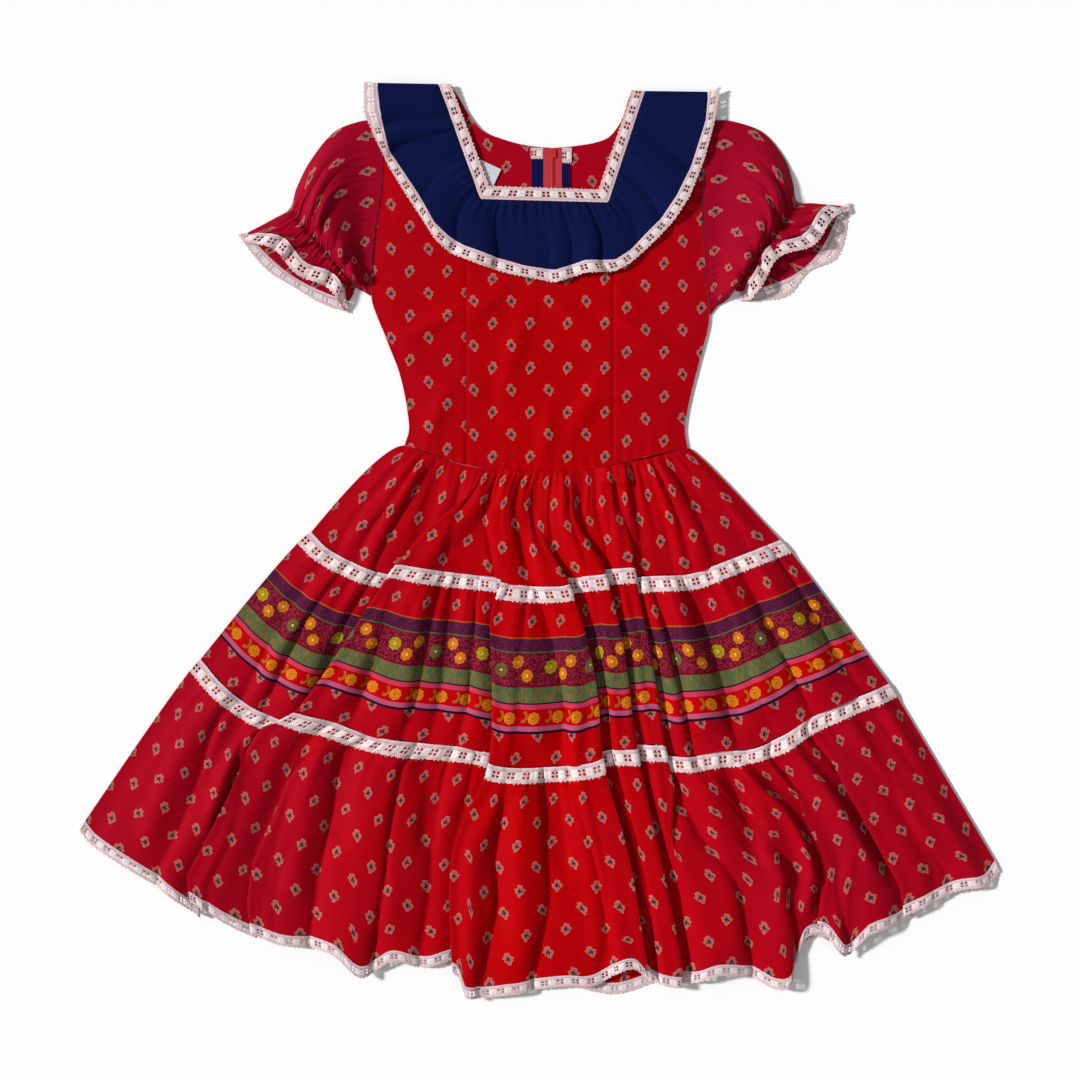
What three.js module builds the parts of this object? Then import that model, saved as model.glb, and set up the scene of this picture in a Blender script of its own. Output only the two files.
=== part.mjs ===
// A prairie dress laid flat on its back, in millimetres. +X is the wearer's left side as it is seen
// from above, +Y points to the neck and +Z up from the surface that the dress lies on.
import * as THREE from "three";

// Driving dimensions
const CLOTH = 1.2; // thickness of a cloth wall
const LACE = 1.0; // thickness of a lace wall
const SEAM_GAP = 0.3; // between two pieces that are sewn together
const TIER_GAP = 0.4; // between two tiers, whose seam runs in short curves
const ARMHOLE_GAP = 0.8; // between a sleeve and the curved armhole
const LACE_WIDTH = 19; // lace on the tiers and the collar
const HEM_LACE_WIDTH = 14; // what shows of the lace below the hem
const LACE_LIFT = 1.3; // back cloth over the lace that lies under it
const COLLAR_LIFT = 1.5; // back bodice over the back collar
const FRONT_RISE = 1.5; // front over back, away from the side seams
const RISE_REACH = 25; // width of the stretch along a side seam where the front rises
const ZIP_CENTRE = 15; // centre back, seen through the neck
const ZIP_HALF_WIDTH = 10.7;
const ZIP_OPENING = 3; // from the centre of the zip to each back's edge, so that its pull can swing
const ZIP_TOP = 450;
const ZIP_BOTTOM = -14;
const TIER_1_GATHERS = 22;
const TIER_2_GATHERS = 28;
const TIER_3_GATHERS = 26;
const COLLAR_WAVES = 14;
const SLEEVE_WAVES = 9;
const COLUMNS_PER_WAVE = 3;

// Seams across the dress: height y at each x
const WAIST = [
  [-155, 108], [-126, 97], [-85, 85], [-45, 80], [6, 78], [58, 80], [85, 85], [127, 93], [170, 105],
];
const TIER_SEAM_1 = [
  [-262, 8], [-245, -8], [-224, -20], [-189, -33], [-120, -39], [-68, -44], [-17, -51], [18, -50],
  [70, -42], [121, -40], [173, -39], [208, -27], [242, -14], [276, -1],
];
const TIER_SEAM_2 = [
  [-389, -138], [-362, -167], [-327, -192], [-275, -207], [-241, -212], [-189, -228], [-137, -235],
  [-86, -242], [-34, -257], [18, -258], [52, -253], [87, -243], [139, -244], [173, -248], [208, -242],
  [242, -241], [277, -226], [311, -205], [346, -189], [380, -175], [401, -166],
];
const HEM = [
  [-530, -335], [-517, -351], [-448, -393], [-379, -437], [-310, -465], [-241, -476], [-206, -503],
  [-172, -486], [-137, -496], [-96, -493], [-85, -521], [-34, -521], [35, -513], [70, -518],
  [104, -511], [173, -514], [208, -501], [242, -503], [290, -512], [308, -460], [335, -457],
  [358, -480], [380, -454], [415, -439], [484, -405], [518, -396], [530, -381],
];
const HEM_BACK = [
  [-530, -335], [-448, -388], [-379, -430], [-310, -456], [-241, -470], [-150, -480], [-60, -500],
  [20, -510], [85, -524], [140, -508], [208, -492], [290, -470], [335, -448], [380, -436], [415, -430],
  [484, -400], [530, -381],
];
// How far the side outline of a tier bows out, left and right, in mm
const TIER_BOW = [
  { left: 13, right: 5 },
  { left: 6, right: 3 },
  { left: 4, right: 1 },
];

// Large folds that run down the skirt: each a route of x, y with its height and widths
const SKIRT_FOLDS = [
  {
    high: 6, steep: 15, soft: 42,
    route: [[-85, 79], [-104, 30], [-160, -40], [-272, -204], [-312, -225], [-350, -302], [-397, -394]],
  },
  {
    high: 5, steep: 14, soft: 38,
    route: [[-52, -20], [-52, -62], [-53, -255], [-94, -350], [-94, -514]],
  },
  {
    high: 7, steep: 14, soft: 26,
    route: [[10, 20], [21, -36], [44, -110], [57, -177], [64, -255], [96, -373], [116, -513]],
  },
  {
    high: 6, steep: 14, soft: 24,
    route: [[50, 30], [68, -39], [88, -120], [105, -244], [141, -408], [157, -490]],
  },
  {
    high: 4, steep: 13, soft: 22,
    route: [[100, 50], [105, -44], [122, -129], [140, -247], [150, -290]],
  },
  {
    high: 7, steep: 14, soft: 30,
    route: [[245, -255], [310, -316], [335, -374], [318, -414], [301, -470]],
  },
  {
    high: 6, steep: 14, soft: 34,
    route: [[300, -225], [341, -270], [364, -299], [393, -351], [420, -385]],
  },
  {
    high: 4, steep: 13, soft: 26,
    route: [[-274, -215], [-308, -302], [-333, -347], [-350, -400]],
  },
];
// The small loose tuck just below the waist
const WAIST_TUCK = { high: 5, x: 87, halfWidth: 15, top: 84, bottom: 62 };

// Outer edge of the bodice, armhole and side seam in one: x at each y
const LEFT_EDGE = [
  [518, -184], [484, -182], [440, -179], [400, -181], [361, -187], [321, -192], [277, -193],
  [259, -188], [240, -180], [217, -171], [194, -162], [171, -156], [148, -152], [125, -150], [108, -155],
];
const RIGHT_EDGE = [
  [508, 194], [482, 196], [436, 191], [395, 187], [355, 187], [321, 190], [255, 195],
  [240, 193], [217, 187], [194, 181], [171, 175], [148, 170], [125, 167], [105, 170],
];
const PRINCESS_X = 84.5; // half the width between the two princess seams
// The neck's lace, from the left shoulder round the square front to the right one
const NECK_INNER = {
  leftTop: [-101, 522], leftCorner: [-57, 406], rightCorner: [67, 402], rightTop: [106, 515],
};
const NECK_OUTER = {
  leftTop: [-116, 522], leftCorner: [-68, 390], rightCorner: [79, 386], rightTop: [121, 514],
};
// Back neck edge: y at each x
const BACK_NECK = [
  [-184, 518], [-103, 521], [-93, 507], [-83, 489], [-68, 470], [-45, 460], [-19, 453], [5, 450],
  [26, 450], [44, 452], [66, 456], [81, 463], [94, 482], [102, 505], [108, 514], [192, 508],
];

// Outer edges of the front collar and of its lace, from the left shoulder to the right one
const COLLAR_EDGE = [
  [-186, 523], [-183, 493], [-172, 446], [-155, 421], [-137, 394], [-120, 363], [-103, 347],
  [-86, 337], [-51, 324], [-17, 314], [18, 309], [52, 320], [87, 321], [104, 332], [121, 350],
  [139, 368], [156, 393], [173, 427], [190, 480], [193, 513],
];
const COLLAR_LACE_EDGE = [
  [-202, 524], [-202, 488], [-189, 458], [-172, 424], [-155, 396], [-137, 369], [-120, 342],
  [-103, 327], [-68, 313], [-34, 303], [18, 293], [52, 304], [87, 306], [104, 315], [121, 330],
  [139, 347], [156, 366], [173, 392], [190, 436], [201, 476], [206, 505], [209, 519],
];

// Back collar, under the back bodice: the neck lace, the navy cloth and its lace, from shoulder to zip
const BACK_COLLAR = [
  {
    side: "left",
    neck: [[-103, 519], [-93, 505], [-83, 487], [-68, 468], [-19, 450], [5, 448]],
    laceEnd: [[-118, 518], [-108, 498], [-96, 478], [-76, 456], [-22, 437], [5, 435]],
    edge: [
      [-165, 516], [-160, 480], [-150, 445], [-130, 415], [-100, 392], [-60, 378], [-20, 372], [5, 371],
    ],
    laceEdge: [
      [-182, 515], [-178, 478], [-168, 438], [-145, 400], [-110, 374], [-66, 361], [-22, 356], [5, 355],
    ],
  },
  {
    side: "right",
    neck: [[106, 512], [102, 503], [93, 480], [80, 461], [66, 454], [44, 450], [26, 448]],
    laceEnd: [[121, 511], [116, 498], [106, 472], [90, 449], [68, 441], [46, 437], [26, 435]],
    edge: [
      [176, 507], [172, 478], [162, 444], [146, 415], [120, 392], [85, 378], [48, 372], [26, 371],
    ],
    laceEdge: [
      [190, 505], [190, 478], [180, 438], [162, 400], [130, 374], [90, 361], [50, 356], [26, 355],
    ],
  },
];

// Sleeves. A section's ends are the folded top and the folded underarm; high is its loft, wave the
// height of its gathers, out its bow away from the shoulder and cut how far the front stays behind
// the back there.
const SLEEVES = [
  {
    side: "left",
    sign: -1,
    edge: LEFT_EDGE,
    armhole: { top: 482, bottom: 279 },
    sections: [
      { s: 0, top: [-182, 482], under: [-193, 279], high: 5.2, wave: 0.3, out: 0, cut: 0 },
      { s: 0.12, top: [-206, 480], under: [-196, 281], high: 5.6, wave: 0.5, out: 4, cut: 0 },
      { s: 0.3, top: [-236, 467], under: [-199, 283], high: 14, wave: 2, out: 8, cut: 0 },
      { s: 0.5, top: [-263, 434], under: [-203, 285], high: 19, wave: 3.5, out: 6, cut: 0 },
      { s: 0.68, top: [-279, 402], under: [-207, 287], high: 15, wave: 4, out: 3, cut: 0 },
      { s: 0.76, top: [-286, 380], under: [-211, 289], high: 9, wave: 2, out: 0, cut: 0 },
      { s: 0.84, top: [-303, 369], under: [-213, 282], high: 10, wave: 3.5, out: 4, cut: 3 },
      { s: 1, top: [-335, 352], under: [-218, 273], high: 12, wave: 5, out: 12, cut: 17 },
    ],
    laceTop: [-347, 350],
    laceUnder: [-217, 259],
    laceOut: 13,
    lobes: [[0, 0], [0.3, 4], [0.55, 0], [0.8, 2], [1, 0]],
  },
  {
    side: "right",
    sign: 1,
    edge: RIGHT_EDGE,
    armhole: { top: 482, bottom: 257 },
    sections: [
      { s: 0, top: [196, 482], under: [195, 257], high: 5.2, wave: 0.3, out: 0, cut: 0 },
      { s: 0.12, top: [222, 480], under: [199, 262], high: 5.6, wave: 0.5, out: 4, cut: 0 },
      { s: 0.3, top: [256, 467], under: [204, 268], high: 14, wave: 2, out: 8, cut: 0 },
      { s: 0.5, top: [281, 437], under: [211, 272], high: 19, wave: 3.5, out: 6, cut: 0 },
      { s: 0.68, top: [291, 408], under: [218, 278], high: 15, wave: 4, out: 2, cut: 0 },
      { s: 0.76, top: [295, 388], under: [224, 286], high: 9, wave: 2, out: 0, cut: 0 },
      { s: 0.84, top: [313, 386], under: [226, 285], high: 10, wave: 3.5, out: 9, cut: 4 },
      { s: 1, top: [346, 383], under: [231, 284], high: 12, wave: 5, out: 26, cut: 22 },
    ],
    laceTop: [358, 387],
    laceUnder: [230, 273],
    laceOut: 34,
    lobes: [[0, 0], [0.3, 10], [0.52, -6], [0.75, 8], [1, 0]],
  },
];

const COLOURS = {
  red: { color: 0xb8040f, roughness: 0.85, metalness: 0 },
  border: { color: 0x8a2a2a, roughness: 0.85, metalness: 0 },
  navy: { color: 0x0c1446, roughness: 0.85, metalness: 0 },
  lace: { color: 0xefe6e6, roughness: 0.9, metalness: 0 },
  tape: { color: 0xc01228, roughness: 0.8, metalness: 0 },
  slider: { color: 0xd02a1c, roughness: 0.4, metalness: 0.6 },
  label: { color: 0xf2f2ee, roughness: 0.8, metalness: 0 },
};

const dress = new THREE.Group();
const materials = Object.fromEntries(
  Object.entries(COLOURS).map(([name, look]) => [name, new THREE.MeshStandardMaterial(look)]),
);

const mix = (a, b, part) => a + (b - a) * part;
const mixPoint = (a, b, part) => [mix(a[0], b[0], part), mix(a[1], b[1], part)];
const clamp = (value) => Math.min(1, Math.max(0, value));
const smooth = (value) => clamp(value) ** 2 * (3 - 2 * clamp(value));
const steps = (count) => Array.from({ length: count + 1 }, (_, i) => i / count);

// A smooth curve through a table of [x, value] rows, whose x all rise or all fall
function lookUp(table, at) {
  const falling = table[0][0] > table[table.length - 1][0];
  const rows = falling ? [...table].reverse() : table;
  const last = rows.length - 1;
  const x = Math.min(rows[last][0], Math.max(rows[0][0], at));
  let i = 0;
  while (i < last - 1 && rows[i + 1][0] < x) i += 1;
  const slope = (k) => {
    const a = rows[Math.max(0, k - 1)];
    const b = rows[Math.min(last, k + 1)];
    return (b[1] - a[1]) / (b[0] - a[0]);
  };
  const width = rows[i + 1][0] - rows[i][0];
  const p = (x - rows[i][0]) / width;
  const h00 = 2 * p ** 3 - 3 * p ** 2 + 1;
  const h10 = p ** 3 - 2 * p ** 2 + p;
  const h01 = 1 - h00;
  const h11 = p ** 3 - p ** 2;
  return h00 * rows[i][1] + h10 * width * slope(i) + h01 * rows[i + 1][1] + h11 * width * slope(i + 1);
}

// The point at a share of the length of a broken line
function alongLine(points, share) {
  const lengths = points.slice(1).map((p, i) => Math.hypot(p[0] - points[i][0], p[1] - points[i][1]));
  let rest = clamp(share) * lengths.reduce((sum, length) => sum + length, 0);
  for (let i = 0; i < lengths.length; i += 1) {
    if (rest <= lengths[i] || i === lengths.length - 1) {
      return mixPoint(points[i], points[i + 1], Math.min(1, rest / lengths[i]));
    }
    rest -= lengths[i];
  }
  return points[points.length - 1];
}

// Uneven gathers across a width from 0 to 1: each has its own width and height
function gathers(count, phase) {
  const width = (k) => 1 + 0.3 * Math.sin(2.4 * k + phase) + 0.2 * Math.sin(5.1 * k);
  const widths = Array.from({ length: count }, (_, k) => width(k));
  const total = widths.reduce((sum, part) => sum + part, 0);
  const edges = [0];
  widths.forEach((part) => edges.push(edges[edges.length - 1] + part / total));
  edges[count] = 1;
  const height = (k) => 0.75 + 0.25 * Math.sin(3.7 * k + phase * 2);
  const rise = (t) => {
    let k = 0;
    while (k < count - 1 && edges[k + 1] < t) k += 1;
    const part = (t - edges[k]) / (edges[k + 1] - edges[k]);
    return height(k) * Math.sin(Math.PI * clamp(part)) ** 2;
  };
  const columns = [];
  for (let k = 0; k < count; k += 1) {
    for (let i = 0; i < COLUMNS_PER_WAVE; i += 1) {
      columns.push(mix(edges[k], edges[k + 1], i / COLUMNS_PER_WAVE));
    }
  }
  columns.push(1);
  return { rise, columns };
}

// Each point of a row moved out at a right angle to the row, in the row's own upright plane
function offsetRow(row, distance) {
  return row.map((point, i) => {
    const a = row[Math.max(0, i - 1)];
    const b = row[Math.min(row.length - 1, i + 1)];
    const along = Math.hypot(b[0] - a[0], b[1] - a[1]);
    const slope = (b[2] - a[2]) / along;
    const size = Math.hypot(slope, 1);
    const back = (-slope / size) * distance;
    return [
      point[0] + (back * (b[0] - a[0])) / along,
      point[1] + (back * (b[1] - a[1])) / along,
      point[2] + distance / size,
    ];
  });
}
const offset = (grid, distance) => grid.map((row) => offsetRow(row, distance));

// A closed solid between two grids of points; ring is true where each row closes on itself
function solidBetween(lower, upper, ring) {
  const rows = lower.length;
  const columns = lower[0].length;
  const positions = [...lower.flat(), ...upper.flat()].flat();
  const low = (r, c) => r * columns + (c % columns);
  const high = (r, c) => rows * columns + low(r, c);
  const faces = [];
  const quad = (a, b, c, d) => faces.push(a, b, c, a, c, d);
  const lastColumn = ring ? columns : columns - 1;
  for (let r = 0; r < rows - 1; r += 1) {
    for (let c = 0; c < lastColumn; c += 1) {
      quad(low(r, c), low(r, c + 1), low(r + 1, c + 1), low(r + 1, c));
      quad(high(r, c), high(r + 1, c), high(r + 1, c + 1), high(r, c + 1));
    }
  }
  for (let c = 0; c < lastColumn; c += 1) {
    quad(low(0, c), high(0, c), high(0, c + 1), low(0, c + 1));
    quad(low(rows - 1, c), low(rows - 1, c + 1), high(rows - 1, c + 1), high(rows - 1, c));
  }
  if (!ring) {
    for (let r = 0; r < rows - 1; r += 1) {
      quad(low(r, 0), low(r + 1, 0), high(r + 1, 0), high(r, 0));
      quad(low(r, columns - 1), high(r, columns - 1), high(r + 1, columns - 1), low(r + 1, columns - 1));
    }
  }
  const geometry = new THREE.BufferGeometry();
  geometry.setAttribute("position", new THREE.Float32BufferAttribute(positions, 3));
  geometry.setIndex(volumeOf(positions, faces) < 0 ? faces.reverse() : faces);
  geometry.computeVertexNormals();
  return geometry;
}

function volumeOf(positions, faces) {
  const corner = (i) => new THREE.Vector3().fromArray(positions, i * 3);
  let volume = 0;
  for (let i = 0; i < faces.length; i += 3) {
    volume += corner(faces[i]).dot(corner(faces[i + 1]).cross(corner(faces[i + 2]))) / 6;
  }
  return volume;
}

function addPiece(name, geometry, material) {
  const mesh = new THREE.Mesh(geometry, materials[material]);
  mesh.name = name;
  dress.add(mesh);
}

// A panel whose grid gives its under side, with the other side at a right angle to it
function addPanel(name, grid, thickness, material) {
  addPiece(name, solidBetween(grid, offset(grid, thickness), false), material);
}

// Height of the upper side of the back bodice
const collarLift = (y) => COLLAR_LIFT * clamp((y - 310) / (366 - 310));
const backTop = (y) => CLOTH + collarLift(y);
const riseFrom = (distance) => FRONT_RISE * smooth(distance / RISE_REACH);

// Skirt: a tier is a grid from its upper seam to its lower one
function tierPoint(tier, t, distance, length, hem = HEM) {
  const top = tierTop(tier, t);
  const bottom = tierBottom(tier, t, hem);
  const size = Math.hypot(bottom[0] - top[0], bottom[1] - top[1]);
  const part = length ? distance / size : distance;
  const bow = TIER_BOW[tier];
  const swell = 4 * Math.sqrt(part) * (1 - Math.sqrt(part));
  const out = swell * (bow.right * t ** 8 - bow.left * (1 - t) ** 8);
  return [mix(top[0], bottom[0], part) + out, mix(top[1], bottom[1], part)];
}
const SEAMS = [WAIST, TIER_SEAM_1, TIER_SEAM_2, HEM];
function seamPoint(index, t, table = SEAMS[index]) {
  const x = mix(table[0][0], table[table.length - 1][0], t);
  return [x, lookUp(table, x)];
}
const tierTop = (tier, t) => {
  const [x, y] = seamPoint(tier, t);
  return [x, y - TIER_GAP / 2];
};
const tierBottom = (tier, t, hem = HEM) => {
  const [x, y] = seamPoint(tier + 1, t, tier < 2 ? SEAMS[tier + 1] : hem);
  if (tier < 2) return [x, y + TIER_GAP / 2];
  const [xTop, yTop] = seamPoint(tier, t);
  const size = Math.hypot(x - xTop, y - yTop);
  return mixPoint([x, y], [xTop, yTop], HEM_LACE_WIDTH / size);
};

// Shares of a tier's length at which its rows lie; on tiers 2 and 3 the first rows carry the lace
function tierRows(tier, count) {
  const lower = steps(count).slice(1);
  if (tier === 0) return [{ share: 0 }, { share: 0.08 }, ...lower.map((share) => ({ share }))];
  const underLace = [{ mm: 0 }, { mm: LACE_WIDTH + 0.3 }, { mm: LACE_WIDTH + 8 }];
  const begin = 0.26;
  return [...underLace, ...lower.map((share) => ({ share: mix(begin, 1, share) }))];
}
function laceLift(tier, row, lastRow) {
  const onLace = (tier > 0 && row < 2) || (tier < 2 && row === lastRow);
  return onLace ? LACE_LIFT : 0;
}

function foldHeight(x, y) {
  let height = 0;
  for (const fold of SKIRT_FOLDS) {
    const route = fold.route;
    const end = route[route.length - 1];
    if (y > route[0][1] || y < end[1] - 30) continue;
    const table = route.map(([rx, ry]) => [ry, rx]);
    const across = x - lookUp(table, y);
    const begin = smooth((route[0][1] - y) / 45);
    const fade = smooth((y - end[1] + 30) / 30);
    const side = across < 0 ? smooth(1 + across / fold.steep) : smooth(1 - across / fold.soft);
    height = Math.max(height, fold.high * begin * fade * side);
  }
  const tuck = WAIST_TUCK;
  const inTuck = smooth((tuck.halfWidth + 4 - Math.abs(x - tuck.x)) / 6);
  const below = smooth((y - tuck.bottom) / 5) * smooth((tuck.top + 6 - y) / 6);
  return Math.max(height, tuck.high * inTuck * below);
}

function tierFront(tier, count, pleats, broad) {
  const gridRows = tierRows(tier, count);
  return gridRows.map((row, index) =>
    pleats.columns.map((t) => {
      const length = row.mm !== undefined;
      const [x, y] = tierPoint(tier, t, length ? row.mm : row.share, length);
      const size = Math.hypot(...[0, 1].map((k) => tierBottom(tier, t)[k] - tierTop(tier, t)[k]));
      const share = length ? row.mm / size : row.share;
      const width = seamPoint(tier + 1, 1)[0] * 2;
      const inward = Math.min(t, 1 - t) * width;
      const edge = CLOTH + laceLift(tier, index, gridRows.length - 1) + SEAM_GAP;
      const start = tier === 0 ? 0.05 : LACE_WIDTH / size;
      const fall = smooth((share - start * 0.6) / 0.14) * (1 - 0.78 * smooth((share - 0.3) / 0.6));
      const puff = pleats.rise(t) * (0.5 + 2.6 * fall);
      const sway = broad.rise(t) * 5 * smooth((share - 0.25) / 0.75);
      const inside = smooth(inward / RISE_REACH);
      const most = Math.max(puff + sway * 0.6, foldHeight(x, y) + puff * 0.4);
      return [x, y, edge + riseFrom(inward) + inside * most];
    }),
  );
}

const BACK_COLUMNS = 16;
function tierBack(tier, count) {
  const gridRows = tierRows(tier, count);
  return gridRows.map((row, index) =>
    steps(BACK_COLUMNS).map((t) => {
      const length = row.mm !== undefined;
      const [x, y] = tierPoint(tier, t, length ? row.mm : row.share, length, HEM_BACK);
      return [x, y, laceLift(tier, index, gridRows.length - 1)];
    }),
  );
}

const tierPleats = [TIER_1_GATHERS, TIER_2_GATHERS, TIER_3_GATHERS].map((n, i) => gathers(n, i + 0.5));
const tierSways = [gathers(6, 1.3), gathers(8, 2.1), gathers(11, 0.4)];
const tierCounts = [4, 3, 4];
const fronts = tierPleats.map((pleats, tier) => tierFront(tier, tierCounts[tier], pleats, tierSways[tier]));
const backs = tierPleats.map((_, tier) => tierBack(tier, tierCounts[tier]));

fronts.forEach((grid, tier) => {
  const cloth = tier === 1 ? "border" : "red";
  addPanel(`skirt_tier_${tier + 1}_front`, grid, CLOTH, cloth);
  addPanel(`skirt_tier_${tier + 1}_back`, backs[tier], CLOTH, cloth);
});

// Lace over the seams between tiers: in front it lies on the tier's own points, behind under them
const LACE_SHARE = 0.98; // of the stretch between the first two rows
function mixRows(a, b, part) {
  return a.map((point, i) => point.map((value, k) => mix(value, b[i][k], part)));
}
function laceLayer(rows, height) {
  const [first, second] = offset(rows, height);
  return [first, mixRows(first, second, LACE_SHARE)];
}
[1, 2].forEach((tier) => {
  const onTier = fronts[tier].slice(0, 2);
  const lower = laceLayer(onTier, CLOTH + SEAM_GAP);
  const upper = laceLayer(onTier, CLOTH + SEAM_GAP + LACE);
  addPiece(`tier_lace_${tier}_front`, solidBetween(lower, upper, false), "lace");
  const behind = backs[tier].slice(0, 2).map((row) => row.map(([x, y]) => [x, y, 0]));
  addPanel(`tier_lace_${tier}_back`, [behind[0], mixRows(behind[0], behind[1], LACE_SHARE)], LACE, "lace");
});

// Hem lace: goes on from the last row of the tier, a seam's gap away
function hemLace(grid, reach) {
  const last = grid[grid.length - 1];
  const before = grid[grid.length - 2];
  const beyond = (distance) =>
    last.map((point, i) => {
      const run = [0, 1].map((k) => point[k] - before[i][k]);
      const size = Math.hypot(...run);
      return [point[0] + (run[0] * distance) / size, point[1] + (run[1] * distance) / size, point[2]];
    });
  return [beyond(SEAM_GAP), beyond(reach)];
}
addPanel("hem_lace_front", hemLace(fronts[2], HEM_LACE_WIDTH), LACE, "lace");
addPanel("hem_lace_back", hemLace(backs[2], HEM_LACE_WIDTH), LACE, "lace");

// Bodice front
const waistY = (x) => lookUp(WAIST, x) + SEAM_GAP / 2;
const princessX = (y) => PRINCESS_X - 24 * smooth((y - 325) / 80);
const seamShares = steps(7);
const leftPrincess = (v) => {
  const y = mix(NECK_INNER.leftCorner[1], waistY(-PRINCESS_X), v);
  return [-princessX(y), y];
};
const rightPrincess = (v) => {
  const y = mix(NECK_INNER.rightCorner[1], waistY(PRINCESS_X), v);
  return [princessX(y), y];
};
// Soft creases on the front bodice: a slanting pull below the collar and a hollow by the waist
function bodiceCrease(x, y) {
  const seen = smooth((300 - y) / 60) * smooth((y - 84) / 30);
  return seen * (0.5 + 0.5 * Math.sin(x / 23 + y / 61)) * 0.9;
}
function bodiceHeight(x, y, inward) {
  return backTop(y) + SEAM_GAP + riseFrom(inward) + smooth(inward / 40) * bodiceCrease(x, y);
}
const centreFront = seamShares.map((v) =>
  steps(10).map((t) => {
    const [x, level] = mixPoint(leftPrincess(v), rightPrincess(v), t);
    const y = level + (waistY(x) - mix(waistY(-PRINCESS_X), waistY(PRINCESS_X), t)) * v;
    const inset = (SEAM_GAP / 2) * (1 - 2 * t);
    return [x + inset, y, bodiceHeight(x, y, 60)];
  }),
);
addPanel("bodice_front_centre", centreFront, CLOTH, "red");

function sideFront(sign, edge, neckTop, neckCorner, princess) {
  const strap = steps(4).slice(0, -1).map((w) => ({
    inner: mixPoint(neckTop, neckCorner, w),
    outerY: mix(edge[0][0], neckCorner[1], w),
  }));
  const lower = seamShares.map((v) => ({
    inner: princess(v),
    outerY: mix(neckCorner[1], edge[edge.length - 1][0] + SEAM_GAP / 2, v),
  }));
  return [...strap, ...lower].map(({ inner, outerY }) =>
    steps(6).map((t) => {
      const outer = [lookUp(edge, outerY), outerY];
      const seamSide = [inner[0] + (sign * SEAM_GAP) / 2, inner[1]];
      const [x, y] = mixPoint(outer, seamSide, t);
      const inward = Math.abs(x - outer[0]);
      return [x, y, bodiceHeight(x, y, inward)];
    }),
  );
}
const leftSide = sideFront(-1, LEFT_EDGE, NECK_INNER.leftTop, NECK_INNER.leftCorner, leftPrincess);
const rightSide = sideFront(1, RIGHT_EDGE, NECK_INNER.rightTop, NECK_INNER.rightCorner, rightPrincess);
addPanel("bodice_front_side_left", leftSide, CLOTH, "red");
addPanel("bodice_front_side_right", rightSide, CLOTH, "red");

// Bodice back: from the outer edge to the zip, top to waist
function bodiceBack(edge, sign) {
  const outerTop = edge[0][1];
  const outerWaist = edge[edge.length - 1][1];
  const zipEdge = ZIP_CENTRE + sign * ZIP_OPENING;
  const atNeck = sign < 0 ? [0.41, 0.455, 0.54] : [0.44, 0.52]; // columns where the neck edge turns
  const across = [...steps(8), ...atNeck].sort((a, b) => a - b);
  return steps(10).map((v) =>
    across.map((t) => {
      const top = lookUp(BACK_NECK, mix(outerTop, zipEdge, t));
      const bottom = waistY(mix(outerWaist, zipEdge, t));
      const y = mix(top, bottom, v);
      return [mix(lookUp(edge, y), zipEdge, t), y, collarLift(y)];
    }),
  );
}
addPanel("bodice_back_left", bodiceBack(LEFT_EDGE, -1), CLOTH, "red");
addPanel("bodice_back_right", bodiceBack(RIGHT_EDGE, 1), CLOTH, "red");

// Front collar, its lace and the lace round the neck
const COLLAR_UNDER = 6.5; // under side of the collar at the neck
const collarPleats = gathers(COLLAR_WAVES, 2.2);
const nearest = (values, goal) => values.reduce((a, b) => (Math.abs(b - goal) < Math.abs(a - goal) ? b : a));
const NECK_CORNERS = [1 / 3, 2 / 3]; // shares of the way round the neck at which its corners lie
const collarColumns = collarPleats.columns.map((t, _, all) => {
  const corner = NECK_CORNERS.find((share) => nearest(all, share) === t);
  return corner === undefined ? t : corner;
});
const neckLine = (corners) => [corners.leftTop, corners.leftCorner, corners.rightCorner, corners.rightTop];
const byCorners = (corners, share) => {
  const line = neckLine(corners);
  const leg = Math.min(2, Math.floor(share * 3 + 1e-9));
  return mixPoint(line[leg], line[leg + 1], share * 3 - leg);
};
const collarShares = [0, 0.45, 1];
const outward = (from, to, distance) => {
  const size = Math.hypot(to[0] - from[0], to[1] - from[1]);
  return mixPoint(from, to, distance / size);
};
const collarGrid = collarShares.map((share) =>
  collarColumns.map((t) => {
    const inner = byCorners(NECK_OUTER, t);
    const outer = alongLine(COLLAR_EDGE, t);
    const start = outward(inner, outer, 2 * SEAM_GAP);
    const [x, y] = mixPoint(start, outer, share);
    const open = smooth(Math.min(t, 1 - t) / 0.06);
    const wave = collarPleats.rise(t) * mix(0.6, 4.5, share) * mix(0.3, 1, open);
    return [x, y, COLLAR_UNDER + 0.6 * share + wave];
  }),
);
addPanel("collar_front", collarGrid, CLOTH, "navy");

const collarLast = collarGrid[collarGrid.length - 1];
const collarLaceGrid = [0, 1].map((share) =>
  collarLast.map((point, i) => {
    const outer = alongLine(COLLAR_LACE_EDGE, collarColumns[i]);
    const start = outward(point, outer, 2 * SEAM_GAP);
    return [...mixPoint(start, outer, share), point[2]];
  }),
);
addPanel("collar_lace_front", collarLaceGrid, LACE, "lace");

const neckShares = steps(18);
const neckLaceGrid = [0, 1].map((side) =>
  neckShares.map((share) => [...byCorners(side ? NECK_OUTER : NECK_INNER, share), COLLAR_UNDER]),
);
addPanel("neck_lace_front", neckLaceGrid, LACE, "lace");

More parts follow.
